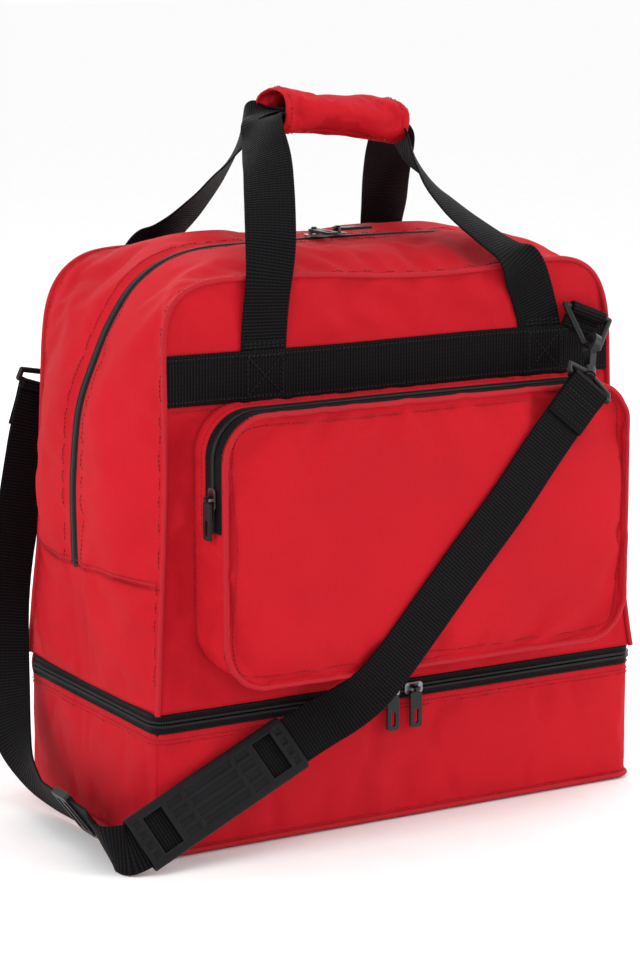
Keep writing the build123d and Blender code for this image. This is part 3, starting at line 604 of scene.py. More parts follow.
strap_points = np.array([p for p, _ in STRAP]) * MM
strap_across = unit(np.array([a for _, a in STRAP]))
strap_line = nurbs_line(strap_points)
strap_side = unit(nurbs_line(strap_points + strap_across * 0.02) - strap_line)
strap = ribbon("strap_webbing", strap_line, strap_side, "upper", "black_webbing", ["shoulder_strap"],
               thick=0.002)

# ---- upper compartment ----
FRONT = (
    (-226, 117), (-225, 123), (-222, 192), (-220, 225), (-217, 301), (-217, 334), (-218, 398),
    (-217, 427), (-209, 442), (-196, 450), (-180, 454), (-150, 454.5), (-104, 454), (-70, 452),
    (-22, 448), (22, 446.5), (74, 448), (123, 452), (145, 453.5), (165, 450), (179, 442), (188, 429),
    (193, 412), (195, 398), (197, 342), (200, 300), (206, 240), (215, 180), (224, 125), (226, 117),
)
MIDDLE = (
    (-229, 117), (-232, 150), (-236, 190), (-239, 215), (-240, 279), (-238, 307), (-235, 337),
    (-230, 356), (-219, 381), (-209, 404), (-200, 418), (-191, 432), (-176, 446), (-159, 456),
    (-137, 463), (-115, 465.5), (-37, 466.6), (35, 466.6), (105, 466), (135, 463), (160, 456),
    (180, 445), (196, 429), (207, 409), (216, 386), (224, 357), (230, 320), (233, 280), (234, 215),
    (231, 160), (229, 117),
)
BACK = (
    (-226, 117), (-224, 135), (-221, 167), (-216, 205), (-213, 243), (-212, 303), (-210, 341),
    (-208, 382), (-205, 408), (-199, 426), (-186, 442), (-166, 452), (-140, 454), (-104, 454),
    (-40, 450), (22, 448), (74, 449), (123, 453), (145, 454), (165, 450), (181, 441), (192, 426),
    (199, 404), (202, 380), (205, 342), (207, 300), (211, 240), (217, 180), (224, 130), (226, 117),
)
SEAM, SHOULDER, CROWN = 215, 395, 135
STEPS = (14, 26, 22, 40, 22, 26, 14)
HALF = 0.1175          # half the bag's depth
HANDLE_X = 0.131       # the handles' sewn ends, from the middle
BAND_Z = 0.378         # the bands' middle
BOX_HALF = 0.0155      # half a box stitch


def outline_points(corners):
    """Even points along an outline, cut at the side seams, the shoulders and the crown."""
    line = soften(spaced(corners, 700), 60)
    x, z = line[:, 0], line[:, 1]
    top = int(np.argmax(z > SHOULDER + 30))
    marks = [0, int(np.argmax(z >= SEAM)), int(np.argmax(z >= SHOULDER)), int(np.argmax(x >= -CROWN)),
             int(np.argmax(x >= CROWN))]
    marks.append(top + 60 + int(np.argmax((z[top + 60:] <= SHOULDER) & (x[top + 60:] > 0))))
    marks.append(marks[-1] + int(np.argmax(z[marks[-1]:] <= SEAM)))
    marks.append(len(line) - 1)
    runs = [spaced(line[a:b + 1], n + 1)[:-1] for a, b, n in zip(marks, marks[1:], STEPS)]
    return np.vstack(runs + [line[-1:]]) * MM


front_line, middle_line, back_line = (outline_points(c) for c in (FRONT, MIDDLE, BACK))
zip_half = 0.006
depths = np.concatenate([np.linspace(-HALF, -zip_half, 22), [-0.0033, -0.0006, 0.0006, 0.0033],
                         np.linspace(zip_half, HALF, 22)])
share = (depths / HALF)[None, :, None]
profile = (middle_line[:, None] * (1 - share ** 2) + (back_line + front_line)[:, None] / 2 * share ** 2
           + (back_line - front_line)[:, None] / 2 * share ** 3)
side = np.stack([profile[..., 0], np.broadcast_to(depths, profile.shape[:2]), profile[..., 1]], -1)
seam_a = STEPS[0]
seam_b = sum(STEPS[:-1])
top_run = slice(seam_a, seam_b + 1)  # from one side seam over the top to the other
corner_a = STEPS[0] + STEPS[1] + STEPS[2] // 2
corner_b = corner_a + STEPS[2] // 2 + STEPS[3] + STEPS[4] // 2


def end_panel(column):
    edge = side[:, column]
    foot = np.linspace(edge[0], edge[-1], corner_b - corner_a + 1)
    return coons(edge[:corner_a + 1], edge[corner_a:corner_b + 1], edge[corner_b:][::-1], foot)


front_face, back_face = end_panel(0), end_panel(-1)
under = coons(side[0], np.linspace(side[0, -1], side[-1, -1], 65), side[-1],
              np.linspace(side[0, 0], side[-1, 0], 65))

hold_side = np.zeros(side.shape[:2])
hold_side[:, [0, -1]] = 1
hold_side[:, [1, -2]] = 0.4
hold_side[0] = hold_side[-1] = 1
hold_side[:, 20:28] = 1
near_pulls = (np.abs(side[..., 0]) < 0.05) & (np.abs(side[..., 1]) < 0.045) & (side[..., 2] > 0.45)
hold_side[near_pulls] = np.maximum(hold_side[near_pulls], 0.85)
hold_side[[seam_a, seam_b]] = np.maximum(hold_side[[seam_a, seam_b]], 0.35)
hold_faces = []
for face in (front_face, back_face):
    hold = np.zeros(face.shape[:2])
    hold[0] = hold[-1] = 1
    hold[:, 0] = hold[:, -1] = 1
    height = face[..., 2]
    hold[(height > 0.352) & (height < 0.404)] = 1
    hold_faces.append(hold)
height = front_face[..., 2]
hold_faces[0][(np.abs(front_face[..., 0]) < 0.19) & (height > 0.15) & (height < 0.36)] = 1
for face, hold, tops in zip((front_face, back_face), hold_faces, ((-0.129, 0.110), (-0.110, 0.125))):
    slant = np.clip((face[..., 2] - 0.404) / 0.043, 0, 1)
    for foot, top in zip((-HANDLE_X, HANDLE_X), tops):
        under_handle = np.abs(face[..., 0] - foot - (top - foot) * slant) < 0.026
        hold[under_handle & (face[..., 2] > 0.352)] = 1

side, front_face, back_face, under = settle(
    [side, front_face, back_face, under],
    [hold_side, hold_faces[0], hold_faces[1], np.ones(under.shape[:2])],
    pressure=1.6, shrink=-0.028, cap=0.008)


def fold(points, start, end, wide, high, flat_axis):
    """A soft ridge or crease in cloth from start to end, seen along one axis; high is signed."""
    keep_axes = [k for k in range(3) if k != flat_axis]
    a, b = (np.array(p, float)[keep_axes] * MM for p in (start, end))
    where = points[..., keep_axes]
    run = b - a
    t = np.clip(((where - a) @ run) / (run @ run), 0, 1)
    gap = np.linalg.norm(where - a - t[..., None] * run, axis=-1)
    return high * MM * np.exp(-(gap / (wide * MM)) ** 2) * np.sin(np.pi * np.clip(t, 0.02, 0.98)) ** 0.7


middle_out = unit(side - np.array([0, 0, 0.27]) * [1, 0, 1] - side * [0, 1, 0])
loose = (1 - hold_side)[..., None]
side = ripple(side, middle_out * loose, 0.0026, 0.075, 2.0)
side = ripple(side, middle_out * loose, 0.0009, 0.022, 7.0)
creases = (
    ((0, -20, 214), (0, -105, 150), 9, -2.6), ((0, -45, 216), (0, -112, 186), 6, 1.8),
    ((0, 40, 212), (0, -30, 128), 11, 1.6), ((0, 70, 330), (0, 20, 230), 14, -1.8),
    ((0, -108, 300), (0, -60, 220), 12, 1.8), ((0, -104, 420), (0, -60, 330), 12, -1.6),
    ((0, 104, 200), (0, 50, 135), 10, -1.8), ((0, -90, 225), (0, 10, 250), 8, -1.5),
)
shift = sum(fold(side, *c, 0) for c in creases)
side = side + middle_out * loose * shift[..., None]
top_creases = (((-120, -60, 0), (-20, -100, 0), 12, -2.0), ((20, -70, 0), (120, -40, 0), 13, -1.8),
               ((-60, -30, 0), (60, -50, 0), 10, 1.2), ((90, -100, 0), (160, -60, 0), 9, 1.5),
               ((-100, 60, 0), (60, 80, 0), 14, -1.8))
high_up = np.clip((side[..., 2] - 0.43) / 0.02, 0, 1)
shift = sum(fold(side, *c, 2) for c in top_creases) * high_up
side = side + middle_out * loose * shift[..., None]

front_creases = (
    ((-205, 0, 345), (-150, 0, 372), 7, 1.4), ((-214, 0, 300), (-186, 0, 350), 8, -1.6),
    ((-216, 0, 240), (-190, 0, 300), 7, 1.6), ((-222, 0, 160), (-190, 0, 225), 8, -1.8),
    ((-215, 0, 130), (-120, 0, 142), 7, 1.5), ((-90, 0, 124), (60, 0, 140), 7, -1.5),
    ((80, 0, 138), (200, 0, 122), 8, 1.6), ((196, 0, 170), (216, 0, 130), 7, 1.6),
    ((-80, 0, 440), (60, 0, 412), 9, -1.4), ((-100, 0, 408), (90, 0, 436), 11, 1.2),
)
loose_front = (1 - hold_faces[0])[..., None] * np.array([0, -1.0, 0])
front_face = ripple(front_face, loose_front, 0.0022, 0.06, 4.0)
front_face = front_face + loose_front * sum(fold(front_face, *c, 1) for c in front_creases)[..., None]
back_creases = (((-150, 0, 160), (60, 0, 300), 16, 2.2), ((-60, 0, 330), (150, 0, 200), 16, -2.0),
                ((-190, 0, 320), (-60, 0, 200), 14, 1.8), ((90, 0, 150), (190, 0, 300), 13, 1.8),
                ((-80, 0, 430), (70, 0, 412), 10, -1.4))
loose_back = (1 - hold_faces[1])[..., None] * np.array([0, 1.0, 0])
back_face = ripple(back_face, loose_back, 0.003, 0.07, 9.0)
back_face = back_face + loose_back * sum(fold(back_face, *c, 1) for c in back_creases)[..., None]

INSIDE = (0, 0, 0.27)
for piece_name, node, cloth in (
    ("panel_front", "front_panel", front_face),
    ("panel_back", "back_panel", back_face),
    ("cloth_front_of_zip", "gusset_front", side[top_run, :22]),
    ("cloth_behind_zip", "gusset_back", side[top_run, 26:]),
    ("side_low_left", "side_panel_left", side[:seam_a + 1]),
    ("side_low_right", "side_panel_right", side[seam_b:]),
):
    sheet_piece(piece_name, cloth, "upper", "red_cloth", [node], outward=INSIDE)

# the main zip: two tapes and its coil, between the side seams
out_here = unit(side[:, 23] - np.array([0, 0, 0.27]) * [1, 0, 1] - side[:, 23] * [0, 1, 0])
for piece_name, node, low, high in (("zip_main_tape_front", "main_zip_front_tape", 21, 24),
                                    ("zip_main_tape_back", "main_zip_back_tape", 24, 27)):
    sheet_piece(piece_name, side[top_run, low:high], "upper", "zip_tape", [node], solid=0.0014,
                outward=INSIDE)


def teeth(name, line, out, body, nodes, pitch=0.0018, half=0.0023, high=0.0014):
    """A zip's nylon coil: a row of rounded turns across the line."""
    line = np.asarray(line, float)
    count = int(length(line) / pitch)
    places = spaced(line, count)
    far = travel(line)
    outs = unit(read_at(np.linspace(0, far[-1], count), far, np.broadcast_to(out, line.shape)))
    ahead = unit(np.gradient(places, axis=0))
    over = np.cross(outs, ahead)
    verts, faces = [], []
    for i in range(count):
        start = len(verts)
        for share_x, lift in ((-1, 0.0), (-0.85, 0.8), (-0.15, 1.0), (0.15, 1.0), (0.85, 0.8), (1, 0.0)):
            middle = places[i] + over[i] * share_x * half + outs[i] * lift * high
            for step, drop in ((-0.4, 0), (0.0, 0.3), (0.4, 0)):
                verts.append(middle + ahead[i] * step * pitch + outs[i] * drop * high * 0.8)
        for k in range(5):
            for m in range(2):
                a = start + k * 3 + m
                faces.append((a, a + 1, a + 4, a + 3))
    obj = new_object(name, verts, faces, np.array(verts)[:, :2])
    return finish(obj, body, "zip_coil", nodes)


zip_line = (side[top_run, 23] + side[top_run, 24]) / 2
teeth("zip_main_coil", zip_line - out_here[top_run] * 0.0004, out_here[top_run], "upper",
      ["main_zip_coil"])

# piping along the panels' edges, and rows of stitches beside the seams
for piece_name, node, edge, outward in (("piping_front", "front_piping", side[:, 0], -1),
                                        ("piping_back", "back_piping", side[:, -1], 1)):
    line = soften(spaced(edge + np.array([0, outward * 0.0008, 0]), 260), 4)
    tube(piece_name, line, 0.0023, "upper", "red_piping", [node])
rows = []
for column in (19, 28):
    rows.append((side[top_run, column], middle_out[top_run, column]))
for column in (1, -2):
    rows.append((side[:, column], middle_out[:, column]))
for row, step in ((seam_a, 1), (seam_b, -1)):
    base_row = side[row]
    for lift in (0.2, 0.75):
        between = base_row * (1 - lift) + side[row + step] * lift
        rows.append((between[1:-1], middle_out[row, 1:-1]))
stitches("stitches_upper", rows, "upper", "red_thread")

# ---- webbing bands and the handles' sewn ends ----
def edge_at(edge, z):
    """Left and right x of a panel's edge at a height."""
    left, right = edge[:corner_a], edge[corner_b:]
    return (float(np.interp(z, left[:, 2], left[:, 0])), float(np.interp(z, right[::-1, 2], right[::-1, 0])))


band_rows, box_rows = [], []
for face_name, facing, edge in (("front", -1, side[:, 0]), ("back", 1, side[:, -1])):
    facing_way = np.array([0, facing, 0.0])
    low_x, high_x = edge_at(edge, BAND_Z)
    xs = np.linspace(low_x + 0.001, high_x - 0.001, 120)
    over_end = sum(np.clip((0.024 - np.abs(xs - c)) / 0.004, 0, 1) for c in (-HANDLE_X, HANDLE_X))
    deep = facing * (HALF + 0.0012 + 0.0016 * over_end + 0.0003 * np.sin(xs * 60))
    line = np.stack([xs, deep, np.full_like(xs, BAND_Z) + 0.0006 * np.sin(xs * 22)], 1)
    ribbon(f"band_{face_name}", line, (0, 0, 1), "upper", "black_webbing",
           [f"{face_name}_band"], thick=0.0018)
    for lift in (-0.0165, 0.0165):
        band_rows.append((line + [0, facing * 0.0009, lift], facing_way))
    for x in (-HANDLE_X, HANDLE_X):
        face_y = facing * (HALF + 0.0012 + 0.0016 + 0.0009)
        for count, corners in ((60, ((-1, -1), (1, -1), (1, 1), (-1, 1), (-1, -1))),
                               (20, ((1, -1), (-1, 1))), (20, ((-1, -1), (1, 1)))):
            seam = [(x + a * BOX_HALF, face_y, BAND_Z + b * BOX_HALF) for a, b in corners]
            box_rows.append((spaced(seam, count), facing_way))
        for lift in (0.4005, 0.4035):
            across = [(x + a * 0.018, facing * (HALF + 0.0019), lift) for a in (-1, 1)]
            box_rows.append((spaced(across, 16), facing_way))
stitches("stitches_band", band_rows + box_rows, "upper", "black_thread", size=0.0028,
         radius=0.00045)
low_x, high_x = edge_at(side[:, 0], 0.350)
row_line = np.stack([np.linspace(low_x + 0.006, high_x - 0.006, 90), np.full(90, -HALF - 0.0004),
                     np.full(90, 0.3545)], 1)
stitches("stitches_below_band", [(row_line, np.array([0, -1.0, 0]))], "upper", "red_thread")

# ---- handles: sewn under the bands, then free legs that curve from the bag up to the grip ----
GRIP = np.array([0, 0, 0.566])
TILT = math.radians(6)
grip_way = np.array([math.cos(TILT), 0, -math.sin(TILT)])
grip_up = np.array([math.sin(TILT), 0, math.cos(TILT)])
# each leg: its face, its end of the grip, its points above the band and the way that its width runs at each
LEGS = (
    ("front", -1, ((-131, -119, 404), (-130, -120.6, 430), (-129, -123.4, 447), (-128, -123.6, 458),
                   (-121, -113, 482), (-109, -90, 509), (-95, -62, 535), (-85, -36, 552), (-73, -12, 567)),
     ((1, 0, 0), (1, 0, 0), (1, 0, 0), (1, 0, 0), (0.95, -0.3, 0), (0.86, -0.5, 0), (0.6, -0.8, 0),
      (0.15, -0.98, 0), (-0.05, -1, 0))),
    ("front", 1, ((126, -119, 404), (117, -120.6, 430), (108, -123.4, 447), (101, -123.6, 458),
                  (91, -106, 468), (77, -77, 487), (67, -50, 508), (62, -30, 528), (61, -10, 546)),
     ((1, 0, 0), (1, 0, 0), (1, 0, 0), (1, 0.05, 0), (0.95, 0.3, 0), (0.85, 0.5, 0), (0.65, 0.75, 0),
      (0.4, 0.9, 0), (0.1, 1, 0))),
    ("back", -1, ((-131, 119, 404), (-122, 120.6, 430), (-111, 123.4, 447), (-99, 123.6, 458),
                  (-83, 109, 476), (-71, 86, 501), (-65, 57, 530), (-67, 33, 552), (-69, 12, 569)),
     ((1, 0, 0), (1, 0, 0), (1, 0, 0), (1, 0.05, 0), (0.95, 0.3, 0), (0.8, 0.6, 0), (0.6, 0.8, 0),
      (0.35, 0.93, 0), (0.1, 1, 0))),
    ("back", 1, ((131, 119, 404), (128, 120.6, 430), (125, 123.4, 447), (123, 123.6, 459),
                 (114, 104, 481), (97, 74, 504), (82, 45, 527), (72, 21, 546), (66, 8, 556)),
     ((1, 0, 0), (1, 0, 0), (1, 0, 0), (1, -0.02, 0), (0.95, -0.3, 0), (0.8, -0.6, 0), (0.6, -0.8, 0),
      (0.35, -0.93, 0), (0.1, -1, 0))),
)
for face_name, end, points, ways in LEGS:
    facing = -1 if face_name == "front" else 1
    layer = facing * 0.003
    sewn = [(end * 131, facing * 118.4, 362), ((end * 131 + points[0][0]) / 2, facing * 118.4, 394)]
    mouth = GRIP + grip_way * (end * 0.055) + grip_up * layer
    inner = GRIP + grip_way * (end * 0.040) + grip_up * layer
    dense = np.vstack([np.array(sewn + list(points)) * MM, mouth, inner])
    turn = (0, -end * facing, 0)
    ways = np.vstack([(1, 0, 0), (1, 0, 0), np.array(ways, float), turn, turn])
    far = travel(dense)
    places = np.linspace(0, far[-1], 150)
    line = soften(read_at(places, far, dense), 30)
    lean = soften(read_at(places, far, ways), 60)
    side_name = "left" if end < 0 else "right"
    ribbon(f"handle_leg_{face_name}_{side_name}", line, unit(lean), "upper", "black_webbing",
           [f"{face_name}_handle_ends", f"{face_name}_handle_legs"], crown=0.0012,
           blend=("upper", "grip", (0, 0, 0.458), (0, 0, 0.553)))

for face_name, layer in (("front", -0.003), ("back", 0.003)):
    line = np.array([GRIP + grip_way * s + grip_up * layer for s in np.linspace(-0.0555, 0.0555, 30)])
    ribbon(f"webbing_in_grip_{face_name}", line, (0, 1, 0), "grip", "black_webbing",
           [f"{face_name}_handle_core"])

# ---- grip wrap: a padded sleeve of cloth folded round both handles ----
steps_x, steps_t = 61, 57
run = np.linspace(-0.0585, 0.0585, steps_x)
turn = np.linspace(-0.5 * math.pi - 0.35, 1.5 * math.pi - 0.35 + 0.3, steps_t)
flare = 1 + 0.10 * np.exp(-((np.abs(run) - 0.0585) / 0.012) ** 2) - 0.05 * np.exp(-(run / 0.05) ** 2)
spiral = np.linspace(1.0, 1.10, steps_t)
wide = 0.0236 * flare[:, None] * spiral[None]
tall = 0.0150 * flare[:, None] * spiral[None]
square_y = np.sign(np.cos(turn)) * np.abs(np.cos(turn)) ** 0.8
square_z = np.sign(np.sin(turn)) * np.abs(np.sin(turn)) ** 0.85
sleeve = (GRIP + grip_way * run[:, None, None] + np.array([0, 1.0, 0]) * (wide * square_y[None])[..., None]
          + grip_up * (tall * square_z[None])[..., None])
hold = np.zeros(sleeve.shape[:2])
hold[[0, -1]] = 0.6
hold[:, [0, -1]] = 1
sleeve = settle([sleeve], [hold], pressure=0.6, shrink=-0.05, cap=0.0035)[0]
sleeve_out = unit(sleeve - GRIP - grip_way * run[:, None, None])
sleeve = ripple(sleeve, sleeve_out, 0.0018, 0.024, 1.0)
sleeve = ripple(sleeve, sleeve_out, 0.0008, 0.011, 5.0)
sheet_piece("grip_sleeve", sleeve, "grip", "red_cloth", ["grip_wrap"], solid=0.0022, outward=tuple(GRIP))
rows = [(sleeve[k], sleeve_out[k]) for k in (3, -4)]
rows += [(sleeve[3:-3, -4], sleeve_out[3:-3, -4])]
stitches("stitches_grip", rows, "grip", "red_thread")

# ---- front pocket ----
def rounded_edges(low_a, high_a, low_b, high_b, radius, count_a, count_b):
    """Four edges of a rounded rectangle, corner middle to corner middle: left, top, right, bottom."""
    def arc(middle_a, middle_b, start, stop):
        t = np.linspace(math.radians(start), math.radians(stop), 10)
        return np.stack([middle_a + radius * np.cos(t), middle_b + radius * np.sin(t)], 1)

    a0, a1, b0, b1 = low_a + radius, high_a - radius, low_b + radius, high_b - radius
    left = np.vstack([arc(a0, b0, 225, 180), arc(a0, b1, 180, 135)])
    top = np.vstack([arc(a0, b1, 135, 90), arc(a1, b1, 90, 45)])
    right = np.vstack([arc(a1, b0, -45, 0), arc(a1, b1, 0, 45)])
    bottom = np.vstack([arc(a0, b0, 225, 270), arc(a1, b0, 270, 315)])
    return [spaced(e, n) for e, n in zip((left, top, right, bottom), (count_b, count_a, count_b, count_a))]


def closed_path(edges):
    left, top, right, bottom = edges
    return np.vstack([left[:-1], top[:-1], right[::-1][:-1], bottom[::-1]])


TALL, LONG = 41, 73
POCKET_STEPS = np.array([0, 3, 8, 12.5, 16, 20.6, 25.4, 26.6, 31.4, 36, 38, 41.0])
wall_path = closed_path(rounded_edges(-192, 189, 148, 358, 37, LONG, TALL))
face_path = closed_path(rounded_edges(-186, 188, 140, 353, 36, LONG, TALL))
went = (POCKET_STEPS / POCKET_STEPS[-1])[None, :, None]
flat_ring = wall_path[:, None] * (1 - went) + face_path[:, None] * went
heart = np.array([0, 249.0])
flat_ring = flat_ring + unit(flat_ring - heart) * (1.6 * np.sin(np.pi * went))
ring = np.stack([flat_ring[..., 0] * MM, np.broadcast_to(-HALF - POCKET_STEPS * MM, flat_ring.shape[:2]),
                 flat_ring[..., 1] * MM], -1)


def ring_edges(column):
    edge = ring[:, column]
    a, b, c = TALL - 1, TALL + LONG - 2, 2 * TALL + LONG - 3
    return edge[:a + 1], edge[a:b + 1], edge[b:c + 1][::-1], edge[c:][::-1]


pocket_face = coons(*ring_edges(-1))
pocket_rear = coons(*ring_edges(0))
u = np.linspace(-1, 1, LONG)[:, None]
v = np.linspace(-1, 1, TALL)[None]
dome = (1 - np.abs(u) ** 3) * (1 - np.abs(v) ** 3)
pocket_face[..., 1] -= dome * 0.0045

order = np.arange(len(ring))
zip_low = int(np.argmax(ring[:TALL, 8, 2] >= 0.262))
zip_high = TALL - 1 + int(np.argmax(ring[TALL - 1:TALL + LONG, 8, 0] >= 0.160))
in_zip = (order >= zip_low) & (order <= zip_high)
hold_ring = np.zeros(ring.shape[:2])
hold_ring[:, 0] = 1
hold_ring[:, -1] = 0.75
hold_ring[np.ix_(in_zip, np.arange(3, 10))] = 1
hold_face = np.zeros(pocket_face.shape[:2])
ring, pocket_face, pocket_rear = settle([ring, pocket_face, pocket_rear],
                                        [hold_ring, hold_face, np.ones(pocket_rear.shape[:2])],
                                        pressure=2.2, shrink=-0.035, cap=0.0055)
edge_free = np.clip((1 - np.abs(u)) / 0.08, 0, 1) * np.clip((1 - np.abs(v)) / 0.12, 0, 1)
toward = edge_free[..., None] * np.array([0, -1.0, 0])
pocket_face = ripple(pocket_face, toward, 0.0018, 0.055, 3.0)
pocket_face = ripple(pocket_face, toward, 0.0006, 0.02, 8.0)
pocket_creases = (
    ((-182, 0, 300), (-120, 0, 345), 7, -1.6), ((-150, 0, 352), (-60, 0, 338), 7, 1.2),
    ((-180, 0, 200), (-150, 0, 150), 8, 1.5), ((150, 0, 150), (184, 0, 220), 8, -1.5),
    ((100, 0, 350), (182, 0, 320), 8, 1.4), ((-60, 0, 150), (80, 0, 160), 8, -1.2),
    ((-176, 0, 250), (-130, 0, 262), 6, 1.0),
)
pocket_face = pocket_face + toward * sum(fold(pocket_face, *c, 1) for c in pocket_creases)[..., None]
pocket_face[..., 1] = np.maximum(pocket_face[..., 1], -0.1664)
ring_out = unit((ring - np.array([0, 0, 0.249])) * [1, 0, 1])
free_ring = (1 - hold_ring)[..., None]
ring = ripple(ring, ring_out * free_ring * (np.sin(np.pi * went)), 0.0022, 0.05, 6.0)

HEART = (0, -0.13, 0.249)
skip = np.zeros((ring.shape[0] - 1, ring.shape[1] - 1), bool)
skip[np.ix_(in_zip[:-1] & in_zip[1:], np.arange(4, 9))] = True
sheet_piece("pocket_wall", ring, "upper", "red_cloth", ["pocket_gusset"], solid=0.002, outward=HEART,
            skip=skip)
sheet_piece("pocket_front", pocket_face, "upper", "red_cloth", ["pocket_panel"], outward=HEART)
zip_rows, zip_rows_out = ring[zip_low:zip_high + 1], ring_out[zip_low:zip_high + 1]
for side_name, low, high in (("back", 4, 7), ("front", 7, 10)):
    tape = zip_rows[:, low:high] - zip_rows_out[:, low:high] * 0.0004
    sheet_piece(f"zip_pocket_tape_{side_name}", tape, "upper", "zip_tape", [f"pocket_zip_{side_name}_tape"],
                solid=0.0012, outward=HEART)
teeth("zip_pocket_coil", (zip_rows[:, 6] + zip_rows[:, 7]) / 2, zip_rows_out[:, 6], "upper",
      ["pocket_zip_coil"])
line = soften(spaced(np.vstack([ring[:, -1]]) + ring_out[:, -1] * 0.0006 + [0, -0.0004, 0], 420), 3)
line[-1] = line[0]
tube("piping_pocket", line, 0.0023, "upper", "red_piping", ["pocket_piping"])
rows = [(ring[:, 1] * 0.45 + ring[:, 0] * 0.55, ring_out[:, 1]), (ring[:, 10], ring_out[:, 10])]
inner_row = np.vstack([pocket_face[2, 2:-2], pocket_face[2:-2, -3], pocket_face[-3, 2:-2][::-1],
                       pocket_face[2:-2, 2][::-1]])
rows.append((soften(inner_row, 6), np.array([0, -1.0, 0])))
for column in (3, 10):
    rows.append((zip_rows[:, column] * 0.8 + zip_rows[:, column - 1] * 0.2, zip_rows_out[:, column]))
stitches("stitches_pocket", rows, "upper", "red_thread")

# ---- base compartment ----
base_edges = rounded_edges(-228, 228, -117.5, 117.5, 11, 97, 51)
base_path = closed_path(base_edges)
heights = np.array([0.5, 3.5, 8, 16, 26, 36, 46, 56, 66, 76, 85, 92, 97, 101.0])
base_wall = np.stack([np.broadcast_to(base_path[:, None, 0], (len(base_path), 14)),
                      np.broadcast_to(base_path[:, None, 1], (len(base_path), 14)),
                      np.broadcast_to(heights, (len(base_path), 14))], -1) * MM
base_lid, base_bed = [np.concatenate([coons(*base_edges), np.full((97, 51, 1), z)], -1) * MM
                      for z in (heights[-1], heights[0])]
hold_wall = np.zeros(base_wall.shape[:2])
hold_wall[:, 0] = hold_wall[:, -1] = 1
hold_wall[:, 1] = hold_wall[:, -2] = 0.5
at_corner = np.minimum.reduce([np.linalg.norm(base_path - np.array(c), axis=1)
                               for c in ((-228, -117.5), (228, -117.5), (228, 117.5), (-228, 117.5))])
hold_wall[at_corner < 9] = np.maximum(hold_wall[at_corner < 9], 0.85)
near_pulls = (np.abs(base_wall[..., 0] + 0.004) < 0.032) & (base_wall[..., 1] < -0.1)
hold_wall[near_pulls & (base_wall[..., 2] > 0.06)] = 1
base_wall, base_lid, base_bed = settle([base_wall, base_lid, base_bed],
                                       [hold_wall, np.ones((97, 51)), np.ones((97, 51))],
                                       pressure=1.2, shrink=-0.02, cap=0.0042)


def away_from_core(points):
    """Level directions out of the base, square to its sides and round its corners."""
    level = points * [1, 1, 0]
    return unit(level - np.clip(level, [-0.215, -0.105, 0], [0.215, 0.105, 0]))


wall_out = away_from_core(base_wall)
free_wall = (1 - hold_wall)[..., None]
base_wall = ripple(base_wall, wall_out * free_wall, 0.002, 0.07, 11.0)
wall_creases = (((0, 60, 96), (0, 20, 8), 7, -1.6), ((0, -100, 90), (0, -60, 20), 8, 1.2))
shift = sum(fold(base_wall, *c, 0) for c in wall_creases) * (np.abs(base_wall[..., 0]) > 0.21)
base_wall = base_wall + wall_out * free_wall * shift[..., None]
wall_creases = (((-215, 0, 90), (-150, 0, 60), 8, 1.4), ((30, 0, 92), (120, 0, 70), 9, -1.3),
                ((120, 0, 30), (220, 0, 60), 10, 1.4), ((-60, 0, 20), (60, 0, 34), 9, 1.1))
shift = sum(fold(base_wall, *c, 1) for c in wall_creases) * (np.abs(base_wall[..., 1]) > 0.105)
base_wall = base_wall + wall_out * free_wall * shift[..., None]
sheet_piece("base_cloth", base_wall, "base", "red_cloth", ["base_wall"], outward=(0, 0, 0.05))
bed = base_bed * [0.995, 0.995, 1] + [0, 0, 0.0003]
sheet_piece("base_underside", ripple(bed, np.array([0, 0, 1.0]), 0.0003, 0.05, 2.0), "base", "black_lining",
            ["base_floor"], solid=0.0016, outward=(0, 0, 0.05))
lining = under * [0.982, 0.975, 1] + [0, 0, 0.0008]
lining = ripple(lining, np.array([0, 0, 1.0]), 0.0012, 0.08, 5.0) + [0, 0, 0.0008]
sheet_piece("divider_lining", lining, "upper", "black_lining", ["divider"], solid=0.002, outward=(0, 0, 0.2))
line = soften(spaced(np.hstack([base_path, np.full((len(base_path), 1), 3.6)]) * MM
                     * [1.0035, 1.006, 1], 600), 2)
line[-1] = line[0]
tube("piping_base", line, 0.0022, "base", "red_piping", ["base_piping"])
rows = [(base_wall[:, 12] * 0.8 + base_wall[:, 11] * 0.2, wall_out[:, 11]),
        (base_wall[:, 11] * 0.85 + base_wall[:, 12] * 0.15, wall_out[:, 11]),
        (base_wall[:, 2] * 0.9 + base_wall[:, 1] * 0.1, wall_out[:, 2])]
stitches("stitches_base", rows, "base", "red_thread")

left_edge, back_edge, right_edge, front_edge = base_edges
hinge_path = spaced(np.vstack([left_edge[left_edge[:, 1] > 103], back_edge[1:-1],
                               right_edge[right_edge[:, 1] > 103][::-1]]) * MM, 150)
hinge_path = np.hstack([hinge_path, np.zeros((150, 1))])
hinge_out = away_from_core(hinge_path)
strip = np.stack([hinge_path + [0, 0, 0.1005 + 0.0163 * t]
                  + hinge_out * (0.0003 + 0.0012 * math.sin(t * math.pi)) for t in np.linspace(0, 1, 9)], 1)
sheet_piece("hinge_cloth", ripple(strip, hinge_out[:, None], 0.0006, 0.03, 3.0), "base", "red_cloth",
            ["hinge_strip"], solid=0.002, outward=(0, 0, 0.11))

